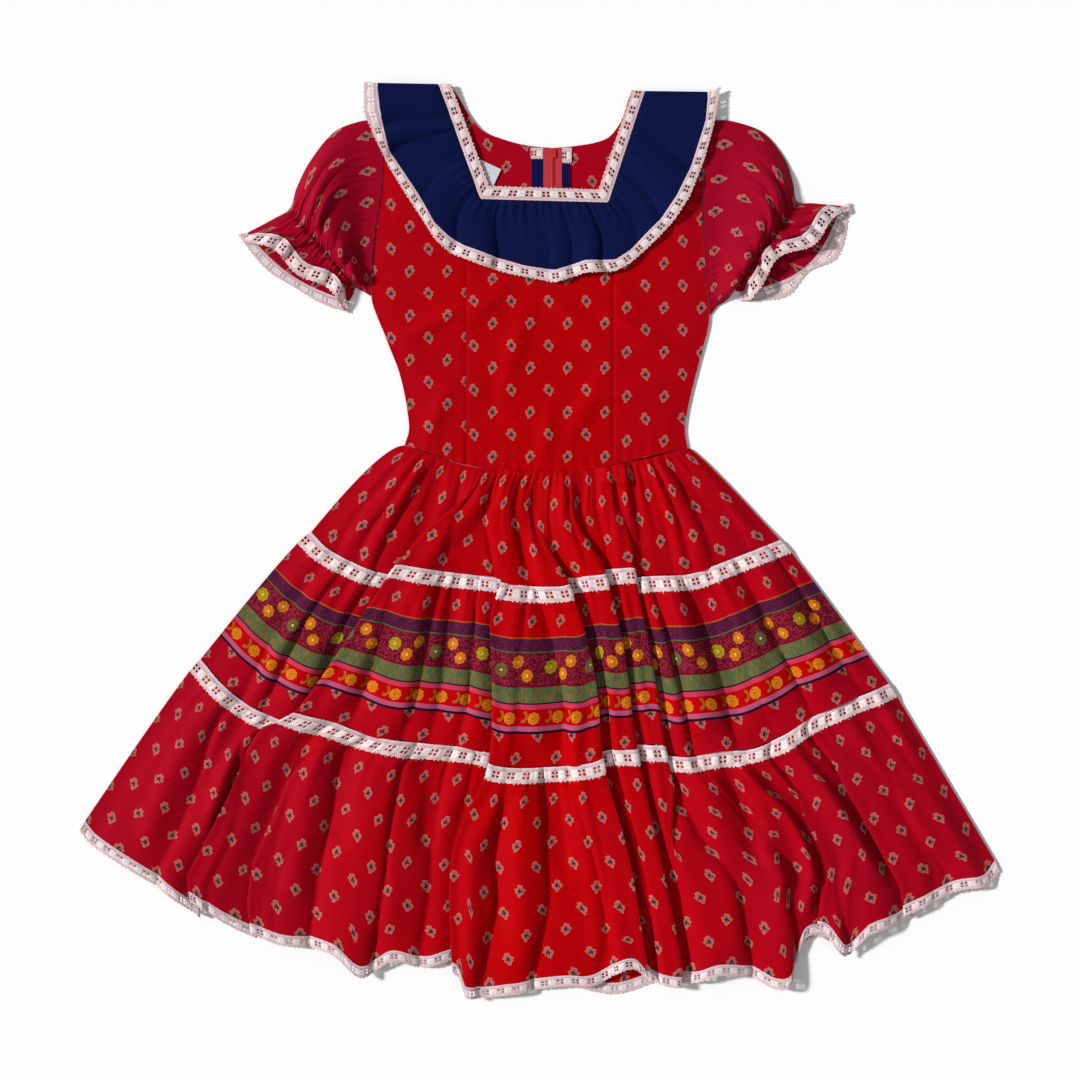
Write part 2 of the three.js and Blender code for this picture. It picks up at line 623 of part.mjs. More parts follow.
// Back collar, flat on the surface under the back bodice
for (const { side, neck, laceEnd, edge, laceEdge } of BACK_COLLAR) {
  const columns = steps(14);
  const strip = (inner, outer, apart, rows) =>
    rows.map((share) =>
      columns.map((t) => {
        const from = alongLine(inner, t);
        const to = alongLine(outer, t);
        return [...mixPoint(outward(from, to, apart), to, share), 0];
      }),
    );
  addPanel(`neck_lace_back_${side}`, strip(neck, laceEnd, 0, [0, 1]), LACE, "lace");
  addPanel(`collar_back_${side}`, strip(laceEnd, edge, 2 * SEAM_GAP, [0, 0.5, 1]), CLOTH, "navy");
  addPanel(`collar_lace_back_${side}`, strip(edge, laceEdge, 2 * SEAM_GAP, [0, 1]), LACE, "lace");
}

// Inside the back neck: the zip, the turned-in ends beside it and the label
const ON_BACK = 0.4; // between the back bodice and what lies on it
function stripOnBack(xLow, xHigh, yTop, yBottom, rowLength) {
  const count = Math.max(1, Math.round((yTop - yBottom) / rowLength));
  return steps(count).map((v) => {
    const y = mix(yTop, yBottom, v);
    return [xLow, xHigh].map((x) => [x, y, backTop(y) + ON_BACK]);
  });
}
const tapeLow = ZIP_CENTRE - ZIP_HALF_WIDTH;
const tapeHigh = ZIP_CENTRE + ZIP_HALF_WIDTH;
addPanel("zip_tape", stripOnBack(tapeLow, tapeHigh, ZIP_TOP - 1, ZIP_BOTTOM, 22), LACE, "tape");
addPanel("collar_end_left", stripOnBack(-9, tapeLow - SEAM_GAP, 435.7, 371, 22), CLOTH, "navy");
addPanel("collar_end_right", stripOnBack(tapeHigh + SEAM_GAP, 35, 430.7, 371, 20), CLOTH, "navy");
addPanel("neck_lace_end_left", stripOnBack(-10, tapeLow - SEAM_GAP, 449.5, 436, 14), LACE, "lace");
addPanel("neck_lace_end_right", stripOnBack(tapeHigh + SEAM_GAP, 37, 449.5, 431, 20), LACE, "lace");

const LABEL_CORNERS = {
  farTop: [-75, 439], nearTop: [-44, 424.5], farBottom: [-84, 420], nearBottom: [-53, 405.5],
};
const labelRow = (a, b) => steps(2).map((t) => [...mixPoint(a, b, t), backTop(440) + ON_BACK]);
addPanel(
  "neck_label",
  [
    labelRow(LABEL_CORNERS.farTop, LABEL_CORNERS.nearTop),
    labelRow(LABEL_CORNERS.farBottom, LABEL_CORNERS.nearBottom),
  ],
  LACE,
  "label",
);

// The slider's plate inside, and the pull tab that hangs from it outside, between the back collars
function roundedPlate(width, length, thickness, corner) {
  const shape = new THREE.Shape();
  const x = width / 2;
  shape.moveTo(-x + corner, 0);
  shape.lineTo(x - corner, 0);
  shape.absarc(x - corner, corner, corner, -Math.PI / 2, 0);
  shape.absarc(x - corner, length - corner, corner, 0, Math.PI / 2);
  shape.absarc(-x + corner, length - corner, corner, Math.PI / 2, Math.PI);
  shape.absarc(-x + corner, corner, corner, Math.PI, 1.5 * Math.PI);
  return { shape, thickness };
}
const SLIDER = { width: 7, length: 10, thickness: 1.6, corner: 1.6, y: 437.5 };
const PULL = { width: 5, length: 24, thickness: 0.9, corner: 2, top: 446, z: 0.3, eye: 1.1 };
function plateGeometry(plate, hole) {
  const { shape } = roundedPlate(plate.width, plate.length, plate.thickness, plate.corner);
  if (hole) shape.holes.push(new THREE.Path().absarc(0, hole.y, hole.radius, 0, 2 * Math.PI, true));
  return new THREE.ExtrudeGeometry(shape, { depth: plate.thickness, bevelEnabled: false, curveSegments: 4 });
}
const sliderMesh = new THREE.Mesh(plateGeometry(SLIDER), materials.slider);
sliderMesh.name = "zip_slider";
sliderMesh.position.set(ZIP_CENTRE, SLIDER.y, backTop(440) + ON_BACK + LACE + SEAM_GAP);
dress.add(sliderMesh);
const pullHole = { y: PULL.length - PULL.corner, radius: PULL.eye };
const pullMesh = new THREE.Mesh(plateGeometry(PULL, pullHole), materials.slider);
pullMesh.name = "zip_pull";
pullMesh.position.set(ZIP_CENTRE, PULL.top - PULL.length, PULL.z);
dress.add(pullMesh);

// Sleeves: rings that run along the front from the top fold to the underarm and back beneath
const sleevePleats = gathers(SLEEVE_WAVES, 0.9);
const FOLD_TURN = 1.6; // how far the inner side of a folded edge stays inside the outer one
const frontShares = sleevePleats.columns;
const backShares = [0.96, 0.8, 0.6, 0.4, 0.2, 0.04];

function sectionAt(sections, s) {
  const value = (key) => lookUp(sections.map((row) => [row.s, row[key]]), s);
  const part = (key, k) => lookUp(sections.map((row) => [row.s, row[key][k]]), s);
  return {
    top: [part("top", 0), part("top", 1)],
    under: [part("under", 0), part("under", 1)],
    high: value("high"),
    wave: value("wave"),
    out: value("out"),
    cut: value("cut"),
  };
}

function sleevePlan(sleeve, section, s, q) {
  const [x, y] = mixPoint(section.top, section.under, q);
  const armY = mix(sleeve.armhole.top, sleeve.armhole.bottom, q);
  const chordX = mix(sleeve.sections[0].top[0], sleeve.sections[0].under[0], q);
  const curve = (lookUp(sleeve.edge, armY) - chordX) * (1 - smooth(s / 0.5));
  const run = [section.under[0] - section.top[0], section.under[1] - section.top[1]];
  const size = Math.hypot(...run);
  const away = [(sleeve.sign * -run[1]) / size, (sleeve.sign * run[0]) / size];
  const bow = section.out * Math.sin(Math.PI * q);
  return [x + curve + sleeve.sign * ARMHOLE_GAP + away[0] * bow, y + away[1] * bow, away];
}

function sleeveRings(sleeve, stations) {
  const outer = [];
  const inner = [];
  for (const s of stations) {
    const section = sectionAt(sleeve.sections, s);
    const outerRow = [];
    const innerRow = [];
    const put = (q, zOuter, zInner, shift, pull) => {
      const [x, y, away] = sleevePlan(sleeve, section, s, q);
      const along = [section.under[0] - section.top[0], section.under[1] - section.top[1]];
      const size = Math.hypot(...along);
      const px = x - away[0] * pull;
      const py = y - away[1] * pull;
      outerRow.push([px, py, zOuter]);
      innerRow.push([px + (along[0] / size) * shift, py + (along[1] / size) * shift, zInner]);
    };
    for (const q of frontShares) {
      if (q === 0) put(0, 1.7, 1.7, FOLD_TURN, 0);
      else if (q === 1) put(1, 1.7, 1.7, -FOLD_TURN, 0);
      else {
        const loft = 3.4 + (section.high - 3.4) * Math.sin(Math.PI * q) ** 0.6;
        const open = smooth(Math.min(q, 1 - q) / 0.08);
        const z = loft + section.wave * sleevePleats.rise(q) * open;
        const pull = section.cut * Math.sin(Math.PI * q) ** 0.5 * open;
        put(q, z, z - CLOTH - 0.1, 0, pull);
      }
    }
    for (const q of backShares) put(q, 0, CLOTH, 0, 0);
    outer.push(outerRow);
    inner.push(innerRow);
  }
  return { outer, inner };
}

const SLEEVE_STATIONS = [0, 0.12, 0.3, 0.5, 0.66, 0.76, 0.84, 1];
for (const sleeve of SLEEVES) {
  const rings = sleeveRings(sleeve, SLEEVE_STATIONS);
  addPiece(`sleeve_${sleeve.side}`, solidBetween(rings.outer, rings.inner, true), "red");
  const lastOuter = rings.outer[rings.outer.length - 1];
  const lastInner = rings.inner[rings.inner.length - 1];
  const count = frontShares.length;
  const laceRow = (from, distance) =>
    from.map((point, i) => {
      const q = i < count ? frontShares[i] : backShares[i - count];
      const chord = mixPoint(sleeve.laceTop, sleeve.laceUnder, q);
      const run = [sleeve.laceUnder[0] - sleeve.laceTop[0], sleeve.laceUnder[1] - sleeve.laceTop[1]];
      const size = Math.hypot(...run);
      const away = [(sleeve.sign * -run[1]) / size, (sleeve.sign * run[0]) / size];
      const bow = sleeve.laceOut * Math.sin(Math.PI * q) + lookUp(sleeve.lobes, q);
      const target = [chord[0] + away[0] * bow, chord[1] + away[1] * bow];
      const onBack = i >= count || q === 0 || q === 1;
      const reach = Math.hypot(target[0] - point[0], target[1] - point[1]);
      const share = onBack ? distance : Math.min(distance, (distance * LACE_WIDTH) / reach);
      const start = mixPoint(point, target, (2 * SEAM_GAP) / reach);
      return [...mixPoint(start, target, share), point[2]];
    });
  const outerLace = [laceRow(lastOuter, 0), laceRow(lastOuter, 1)];
  const innerLace = [laceRow(lastInner, 0), laceRow(lastInner, 1)];
  addPiece(`sleeve_lace_${sleeve.side}`, solidBetween(outerLace, innerLace, true), "lace");
}

// The origin lies on the surface, at the middle of the dress's bounding box
const box = new THREE.Box3().setFromObject(dress);
const middle = box.getCenter(new THREE.Vector3());
dress.position.set(-middle.x, -middle.y, -box.min.z);

export default dress;
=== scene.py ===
"""A prairie dress laid flat: cloth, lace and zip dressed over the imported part."""
import math

import bpy
import numpy as np
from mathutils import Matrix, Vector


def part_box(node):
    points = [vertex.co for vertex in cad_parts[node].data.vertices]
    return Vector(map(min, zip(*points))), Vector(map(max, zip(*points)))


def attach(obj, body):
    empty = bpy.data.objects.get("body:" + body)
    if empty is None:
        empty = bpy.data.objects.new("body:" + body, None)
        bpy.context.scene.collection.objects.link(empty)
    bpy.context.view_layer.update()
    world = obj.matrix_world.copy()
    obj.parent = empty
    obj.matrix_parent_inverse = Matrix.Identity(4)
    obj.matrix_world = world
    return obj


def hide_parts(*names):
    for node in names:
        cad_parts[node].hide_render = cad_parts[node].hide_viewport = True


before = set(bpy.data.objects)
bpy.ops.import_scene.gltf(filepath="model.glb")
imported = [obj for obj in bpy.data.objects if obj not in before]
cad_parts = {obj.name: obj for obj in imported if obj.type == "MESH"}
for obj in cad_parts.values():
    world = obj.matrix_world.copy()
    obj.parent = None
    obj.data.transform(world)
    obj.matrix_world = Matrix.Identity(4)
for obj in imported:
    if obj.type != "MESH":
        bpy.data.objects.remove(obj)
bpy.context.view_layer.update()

bl_info = {
    "name": "Prairie dress, laid flat",
    "version": (1, 0, 0),
    "blender": (4, 5, 0),
    "location": "View3D > Sidebar > Dress",
    "description": "Dresses the packed part in printed cotton, lace, gathers and a zip",
    "category": "Add Mesh",
}

MM = 0.001

# Millimetres of the pattern, before it is placed in the frame
CLOTH = 1.2  # room that the part gives a cloth wall
BACK_WALL = 0.9  # cloth of the dress's under side
SEAM_GAP = 0.3
TIER_GAP = 0.4
ARMHOLE_GAP = 0.8
LACE_WIDTH = 19
HEM_LACE_WIDTH = 14
LACE_LIFT = 1.3
COLLAR_LIFT = 1.5  # how far the back stands off the surface over the back collar
COLLAR_LIFT_FROM = 310
COLLAR_LIFT_REACH = 56
FRONT_RISE = 1.5
RISE_REACH = 25
ZIP_CENTRE = 15
ZIP_HALF_WIDTH = 10.7
ZIP_TOP = 450
ZIP_OPENING = 3
SLIDER_BOTTOM = 437.5
SLIDER_LENGTH = 10.5
COLLAR_UNDER = 6.5
NECK_LACE_WALL = 1.0
NECK_LACE_ROWS = [0, 6.5, 13, LACE_WIDTH]  # the lace's own width, drawn in to the neck's
BACK_COLLAR_TOP = 1.2
UNDER_LACE_TOP = 1.0
UNDER_LACE_WALL = 0.7
BACK_COLLAR_LACE_WALL = 0.8
SLEEVE_FULLNESS = 1.25  # cloth in a sleeve's ring for each length round it
ON_BACK = 0.4  # gap between the back and what is sewn on its inside
BACK_LAYER = 1.0  # room that the part gives that layer
COIL_HEIGHT = 1.15
COIL_BOTTOM = 330  # the coil below it is out of sight
COIL_TURN = {"Length": 0.0009, "Width": 0.0046, "Height": 0.0009}

WAIST = [
    (-155, 108), (-126, 97), (-85, 85), (-45, 80), (6, 78), (58, 80), (85, 85), (127, 93), (170, 105),
]
TIER_SEAM_1 = [
    (-262, 8), (-245, -8), (-224, -20), (-189, -33), (-120, -39), (-68, -44), (-17, -51), (18, -50),
    (70, -42), (121, -40), (173, -39), (208, -27), (242, -14), (276, -1),
]
TIER_SEAM_2 = [
    (-389, -138), (-362, -167), (-327, -192), (-275, -207), (-241, -212), (-189, -228), (-137, -235),
    (-86, -242), (-34, -257), (18, -258), (52, -253), (87, -243), (139, -244), (173, -248), (208, -242),
    (242, -241), (277, -226), (311, -205), (346, -189), (380, -175), (401, -166),
]
HEM = [
    (-530, -335), (-517, -351), (-448, -393), (-379, -437), (-310, -465), (-241, -476), (-206, -503),
    (-172, -486), (-137, -496), (-96, -493), (-85, -521), (-34, -521), (35, -513), (70, -518),
    (104, -511), (173, -514), (208, -501), (242, -503), (290, -512), (308, -460), (335, -457),
    (358, -480), (380, -454), (415, -439), (484, -405), (518, -396), (530, -381),
]
HEM_BACK = [
    (-530, -335), (-448, -388), (-379, -430), (-310, -456), (-241, -470), (-150, -480), (-60, -500),
    (20, -510), (85, -524), (140, -508), (208, -492), (290, -470), (335, -448), (380, -436),
    (415, -430), (484, -400), (530, -381),
]
SEAMS = [WAIST, TIER_SEAM_1, TIER_SEAM_2, HEM]
TIER_BOW = [(13, 5), (6, 3), (4, 1)]  # how far the left and right sides of each tier bow out
TIER_DEPTH = [128, 201, 245]
TIER_CUT = [640, 960, 1300]  # cloth widths of the front tiers
BACK_CUT = [560, 860, 1160]
TIER_CLOTH = ["red", "border", "red"]
CLOSE_ROWS = [0, 1.5, 4, 6.5, 9, 12, 15, 18, 21]  # rows of a tier under its lace
CLOSE_DEPTH = 24
ROW_PITCH = 4.8

# Laps: folds where the cloth doubles back. over is the side whose cloth lies on top, tuck the
# width of the overlap, soft the stretch in which the upper layer comes down again, and step how
# much further up the seams lie on the right of the lap.
LAPS = [
    {
        "high": 9, "tuck": 13, "soft": 40, "over": 1, "tiers": (0, 1, 2), "step": 15,
        "route": [(-85, 79), (-104, 30), (-160, -40), (-272, -204), (-312, -225), (-350, -302), (-397, -394)],
    },
    {
        "high": 8, "tuck": 11, "soft": 34, "over": 1, "tiers": (0, 1, 2), "step": -13,
        "route": [(-52, -20), (-52, -62), (-53, -255), (-94, -350), (-94, -514)],
    },
    {
        "high": 15, "tuck": 18, "soft": 30, "over": -1, "tiers": (0, 1, 2), "step": 9,
        "route": [(10, 20), (21, -36), (44, -110), (57, -177), (64, -255), (96, -373), (116, -513)],
    },
    {
        "high": 12.5, "tuck": 14, "soft": 24, "over": -1, "tiers": (0, 1, 2), "step": 6,
        "route": [(50, 30), (68, -39), (88, -120), (105, -244), (141, -408), (157, -490)],
    },
    {
        "high": 8, "tuck": 9, "soft": 20, "over": -1, "tiers": (0, 1, 2), "step": -12,
        "route": [(100, 50), (105, -44), (122, -129), (140, -247), (150, -290)],
    },
    {
        "high": 10, "tuck": 14, "soft": 30, "over": 1, "tiers": (2,), "step": 6,
        "route": [(245, -255), (310, -316), (335, -374), (330, -414), (322, -470)],
    },
    {
        "high": 9, "tuck": 13, "soft": 32, "over": 1, "tiers": (2,), "step": 6,
        "route": [(300, -225), (341, -270), (364, -299), (393, -351), (420, -400)],
    },
    {
        "high": 7, "tuck": 10, "soft": 26, "over": 1, "tiers": (2,), "step": 3,
        "route": [(-274, -215), (-300, -302), (-318, -347), (-330, -420)],
    },
]
# The profile of a lap across the fold. A row gives the place in halves of the tuck, the share of
# the way from there to the end of the lap's stretch, below 0 for the left end, and the height.
LAP_PROFILE = [
    (0, -1, 0.0), (-1.5, 0, 0.02), (0, 0, 0.05), (0.9, 0, 0.1), (1.12, 0, 0.26), (0.9, 0, 0.42),
    (0, 0, 0.5), (-0.85, 0, 0.56), (-1.08, 0, 0.78), (-0.85, 0, 0.98), (-0.3, 0, 1.03), (0.6, 0, 0.94),
    (1.4, 0.25, 0.74), (1, 0.6, 0.36), (0, 1, 0.0),
]
PROFILE_SIZES = (7, 30, 6)  # what 1 in each of those columns comes to, in millimetres, nearly
LAP_COLUMNS = 30
LAYER_TURN = 1.3  # columns in which the hidden layer steps from one side's place to the other's
OPENING = 75  # length in which a lap opens from its upper end
CLOSING = 90  # length past its lower end in which it closes again
LAP_ROUNDS = 6  # rounds of the search for a lap's place in a row
LAP_LIMITS = (0.04, 0.96)
LAP_MARGIN = 6  # cloth beside the tuck that still belongs to the lap
LEAST_SHARE = 0.006  # least share of the width between a lap's middle and its ends
COLUMN_WIDTH = 2.4
LAP_CALM = 16  # distance within which a lap keeps the other folds low
STEP_REACH = 45  # distance in which the step of the seams fades

# Soft creases placed one by one on the front skirt: route, height (a trough is below 0) and half width
SKIRT_CREASES = [
    ([(-130, 92), (-160, 55), (-196, 10)], 2.6, 9),
    ([(-112, 88), (-128, 40), (-140, -4)], -2.4, 8),
    ([(-64, 80), (-70, 42), (-84, 6)], 2.8, 9),
    ([(-38, 78), (-36, 30), (-30, -22)], 2.2, 10),
    ([(-8, 76), (-6, 44), (-10, 4)], -2.4, 8),
    ([(28, 76), (34, 34), (46, -8)], 2.6, 8),
    ([(118, 90), (142, 52), (158, 4)], 2.8, 10),
    ([(140, 96), (176, 58), (206, 16)], -2.4, 9),
    ([(-230, -30), (-268, -88), (-310, -142)], 3.2, 12),
    ([(-212, -36), (-240, -92), (-262, -128)], -2.6, 9),
    ([(-176, -50), (-192, -112), (-206, -150)], 2.6, 10),
    ([(-128, -46), (-140, -108), (-150, -176), (-154, -222)], 3.6, 13),
    ([(-96, -48), (-104, -120), (-112, -176)], -3.0, 10),
    ([(-20, -60), (-16, -128), (-8, -196), (-2, -246)], 3.4, 14),
    ([(6, -60), (16, -120), (24, -170)], -3.0, 9),
    ([(150, -48), (166, -110), (180, -178), (190, -236)], 4.2, 13),
    ([(172, -46), (196, -104), (216, -160), (226, -226)], -3.8, 10),
    ([(200, -38), (228, -96), (252, -158), (262, -214)], 4.2, 12),
    ([(222, -30), (254, -84), (282, -138)], -3.6, 9),
    ([(246, -22), (282, -76), (316, -132), (330, -172)], 3.8, 12),
    ([(-352, -160), (-398, -226), (-436, -300), (-452, -356)], 4.0, 15),
    ([(-330, -184), (-368, -250), (-398, -316)], -3.4, 12),
    ([(-242, -222), (-262, -292), (-276, -360), (-284, -426)], 4.2, 15),
    ([(-212, -232), (-222, -300), (-232, -372)], -3.6, 12),
    ([(-160, -240), (-170, -330), (-176, -420), (-178, -466)], 4.4, 17),
    ([(-128, -244), (-130, -310), (-132, -372)], -3.4, 12),
    ([(-24, -262), (-22, -340), (-20, -430), (-18, -500)], 4.0, 16),
    ([(10, -264), (22, -330), (30, -392)], -3.4, 12),
    ([(36, -262), (56, -350), (68, -440), (72, -500)], 3.4, 13),
    ([(186, -256), (206, -340), (222, -420), (228, -486)], 4.4, 16),
    ([(214, -250), (236, -320), (252, -380)], -3.6, 12),
    ([(232, -248), (262, -330), (280, -410), (288, -470)], 4.0, 14),
    ([(346, -196), (388, -256), (430, -322), (458, -372)], 4.2, 14),
    ([(372, -184), (420, -246), (462, -306)], -3.4, 12),
    ([(392, -178), (446, -246), (494, -318), (510, -362)], 3.4, 13),
    ([(222, -256), (286, -318), (312, -374), (306, -440)], 6.5, 9),
    ([(276, -226), (318, -272), (342, -301), (371, -352), (396, -400)], 6.5, 9),
    ([(192, -262), (226, -310), (262, -360), (290, -410)], 5.5, 9),
    ([(-318, -196), (-352, -250), (-372, -300), (-384, -350)], 5.0, 9),
]
CREASE_RELIEF = 1.5
CREASE_BEGIN = 18  # lengths in which a crease comes up and dies away
CREASE_END = 30
WAIST_TUCK = {"high": 5, "x": 87, "half_width": 19, "side": 6, "top": 90, "fade": 6, "bottom": 62, "edge": 3}

LEFT_EDGE = [
    (518, -184), (484, -182), (440, -179), (400, -181), (361, -187), (321, -192), (277, -193),
    (259, -188), (240, -180), (217, -171), (194, -162), (171, -156), (148, -152), (125, -150), (108, -155),
]
RIGHT_EDGE = [
    (508, 194), (482, 196), (436, 191), (395, 187), (355, 187), (321, 190), (255, 195),
    (240, 193), (217, 187), (194, 181), (171, 175), (148, 170), (125, 167), (105, 170),
]
PRINCESS_X = 84.5
PRINCESS_DRAW = 24  # how much nearer the princess seams come to the middle at the neck
PRINCESS_FROM = 325
PRINCESS_REACH = 80
NECK_INNER = [(-101, 522), (-57, 406), (67, 402), (106, 515)]
NECK_OUTER = [(-116, 522), (-68, 390), (79, 386), (121, 514)]
BACK_NECK = [
    (-184, 518), (-103, 521), (-93, 507), (-83, 489), (-68, 470), (-45, 460), (-19, 453), (5, 450),
    (26, 450), (44, 452), (66, 456), (81, 463), (94, 482), (102, 505), (108, 514), (192, 508),
]
COLLAR_EDGE = [
    (-186, 523), (-183, 493), (-172, 446), (-155, 421), (-137, 394), (-120, 363), (-103, 347),
    (-86, 337), (-51, 324), (-17, 314), (18, 309), (52, 320), (87, 321), (104, 332), (121, 350),
    (139, 368), (156, 393), (173, 427), (190, 480), (193, 513),
]
COLLAR_LACE_EDGE = [
    (-202, 524), (-202, 488), (-189, 458), (-172, 424), (-155, 396), (-137, 369), (-120, 342),
    (-103, 327), (-68, 313), (-34, 303), (18, 293), (52, 304), (87, 306), (104, 315), (121, 330),
    (139, 347), (156, 366), (173, 392), (190, 436), (201, 476), (206, 505), (209, 519),
]
BACK_COLLAR = {
    "left": {
        "neck": [(-103, 519), (-93, 505), (-83, 487), (-68, 468), (-19, 450), (5, 448)],
        "lace_end": [(-118, 518), (-108, 498), (-96, 478), (-76, 456), (-22, 437), (5, 435)],
        "edge": [
            (-165, 516), (-160, 480), (-150, 445), (-130, 415), (-100, 392), (-60, 378), (-20, 372), (5, 371),
        ],
        "lace_edge": [
            (-182, 515), (-178, 478), (-168, 438), (-145, 400), (-110, 374), (-66, 361), (-22, 356), (5, 355),
        ],
    },
    "right": {
        "neck": [(106, 512), (102, 503), (93, 480), (80, 461), (66, 454), (44, 450), (26, 448)],
        "lace_end": [(121, 511), (116, 498), (106, 472), (90, 449), (68, 441), (46, 437), (26, 435)],
        "edge": [
            (176, 507), (172, 478), (162, 444), (146, 415), (120, 392), (85, 378), (48, 372), (26, 371),
        ],
        "lace_edge": [
            (190, 505), (190, 478), (180, 438), (162, 400), (130, 374), (90, 361), (50, 356), (26, 355),
        ],
    },
}
# A sleeve section: place along the sleeve, top fold, underarm, loft, gathers, bow and front set-back
SLEEVES = {
    "left": {
        "sign": -1, "edge": LEFT_EDGE, "armhole": (482, 279),
        "sections": [
            (0, (-182, 482), (-193, 279), 5.2, 0.3, 0, 0), (0.12, (-206, 480), (-196, 281), 5.6, 0.5, 4, 0),
            (0.3, (-236, 467), (-199, 283), 14, 2, 8, 0), (0.5, (-263, 434), (-203, 285), 19, 3.5, 6, 0),
            (0.68, (-279, 402), (-207, 287), 15, 4, 3, 0), (0.76, (-286, 380), (-211, 289), 9, 2, 0, 0),
            (0.84, (-303, 369), (-213, 282), 10, 3.5, 4, 5), (1, (-335, 352), (-218, 273), 12, 6, 12, 28),
        ],
        "lace_top": (-347, 350), "lace_under": (-217, 259), "lace_out": 13,
        "lobes": [(0, 0), (0.3, 4), (0.55, 0), (0.8, 2), (1, 0)],
    },
    "right": {
        "sign": 1, "edge": RIGHT_EDGE, "armhole": (482, 257),
        "sections": [
            (0, (196, 482), (195, 257), 5.2, 0.3, 0, 0), (0.12, (222, 480), (199, 262), 5.6, 0.5, 4, 0),
            (0.3, (256, 467), (204, 268), 14, 2, 8, 0), (0.5, (281, 437), (211, 272), 19, 3.5, 6, 0),
            (0.68, (291, 408), (218, 278), 15, 4, 2, 0), (0.76, (295, 388), (224, 286), 9, 2, 0, 0),
            (0.84, (313, 386), (226, 285), 10, 3.5, 9, 7), (1, (346, 383), (231, 284), 12, 6, 26, 38),
        ],
        "lace_top": (358, 387), "lace_under": (230, 273), "lace_out": 34,
        "lobes": [(0, 0), (0.3, 10), (0.52, -6), (0.75, 8), (1, 0)],
    },
}
LABEL_CORNERS = [[(-75, 439), (-44, 424.5)], [(-84, 420), (-53, 405.5)]]

# One repeat of the lace, in millimetres along and down, with the rows and columns that are holes
LACE_ALONG = (0, 0.6, 3.5, 5.5, 8.4, 9.7, 11.6, 13.5, 15.4, 17.2)
LACE_DOWN = (0, 1.2, 4.4, 5.5, 8.4, 9.9, 12.8, 14.2, 16, 19)
LACE_REPEAT = 18
HOLE_CELLS = {(3, 1), (3, 3), (5, 1), (5, 3)}
SCALLOP_PITCH = 4.5
SCALLOP_DEPTH = 2.6
EDGE_WAVE = 0.5
PAD_ALONG = (9.5, 17.4)  # where the raised pads between the holes lie
PAD_DOWN = (5, 13.5)
PAD_RISE = 0.45
CORD_RISE = 0.25
STITCH_RISE = 0.12
# How far the lace's under side lies above or below the grid that it is worked along
LACE_LIFTS = {"tier": 0.2, "edge": -0.6, "hem": -0.7, "under": -0.9, "tier_back": -0.95}

slider_low, slider_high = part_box("zip_slider")
SHIFT = np.array([
    (slider_low.x + slider_high.x) / 2 / MM - ZIP_CENTRE,
    slider_low.y / MM - SLIDER_BOTTOM,
    0.0,
])
stitch_lines = []


def linear(red, green, blue):
    """An sRGB colour of 0 to 255 as the linear values that a shader takes."""
    shares = [part / 255 for part in (red, green, blue)]
    return tuple(s / 12.92 if s <= 0.04045 else ((s + 0.055) / 1.055) ** 2.4 for s in shares)


class DressSizes(bpy.types.PropertyGroup):
    """Sizes that a maker would change."""

    cloth_wall: bpy.props.FloatProperty(
        name="Cloth wall", description="Thickness of the cotton", default=0.0006, unit="LENGTH"
    )
    lace_wall: bpy.props.FloatProperty(
        name="Lace wall", description="Thickness of the lace", default=0.0006, unit="LENGTH"
    )
    gather_lift: bpy.props.FloatProperty(
        name="Gather lift", description="Height of the fine gathers", default=1.0, subtype="FACTOR"
    )
    motif_across: bpy.props.FloatProperty(
        name="Motif across", description="Distance between motifs in a row", default=0.043, unit="LENGTH"
    )
    motif_down: bpy.props.FloatProperty(
        name="Motif down", description="Distance between rows of motifs", default=0.0255, unit="LENGTH"
    )
    stitch_pitch: bpy.props.FloatProperty(
        name="Stitch pitch", description="Length of a stitch with its gap", default=0.0034, unit="LENGTH"
    )
    coil_pitch: bpy.props.FloatProperty(
        name="Coil pitch", description="Distance between turns of the zip coil", default=0.0015, unit="LENGTH"
    )


def colour(name, description, default):
    """A colour that a maker would change, with its default in sRGB of 0 to 255."""
    return bpy.props.FloatVectorProperty(
        name=name, description=description, default=linear(*default), size=3, subtype="COLOR", min=0, max=1
    )


class DressColours(bpy.types.PropertyGroup):
    """Colours of the cotton, the lace and the trims."""

    red: colour("Red", "Ground of the printed cotton", (170, 0, 4))
    # painted shade: this darker, cooler red stands in for the shade on the sleeves, the skirt's sides and the
    # inside of the back
    painted_shade_crimson: colour("Crimson", "Cooler red of the sleeves and of the skirt's sides", (146, 6, 34))
    motif: colour("Motif", "Salmon of the small leaf motif", (192, 86, 80))
    motif_heart: colour("Motif heart", "Dark middle of the motif", (30, 12, 34))
    navy: colour("Navy", "Gathered collar", (10, 15, 55))
    lace: colour("Lace", "Cotton lace", (237, 224, 221))
    lace_line: colour("Lace line", "Thin line along the lace heading", (164, 150, 158))
    tape: colour("Zip tape", "Woven tape of the zip", (172, 12, 26))
    enamel: colour("Zip enamel", "Painted slider and pull", (196, 22, 24))
    label: colour("Label", "Blank woven label", (206, 208, 214))
    border_purple: colour("Border purple", "Wide dark band of the border", (62, 16, 44))
    border_maroon: colour("Border maroon", "Ground under the flowers of the border", (104, 8, 24))
    border_green: colour("Border green", "Green band of the border", (70, 90, 54))
    border_pink: colour("Border pink", "Pink lines of the border", (184, 50, 78))
    border_mauve: colour("Border mauve", "Lower pink line of the border", (166, 76, 108))
    border_yellow: colour("Border yellow", "Flowers of the border", (198, 116, 22))
    border_orange: colour("Border orange", "Thin line at the top of the border", (164, 78, 24))
    border_lime: colour("Border lime", "Round flowers of the border", (158, 146, 26))
    floor: colour("Floor", "Pale surface under the dress", (246, 246, 247))


# Shapes of the pattern
def mix(a, b, part):
    """The value at that part of the way from a to b."""
    return a + (b - a) * part


def clamp(value):
    """The value kept from 0 to 1."""
    return np.clip(value, 0, 1)


def smooth(value):
    """0 up to 0, 1 from 1 on, and an even turn between them."""
    part = clamp(value)
    return part**2 * (3 - 2 * part)


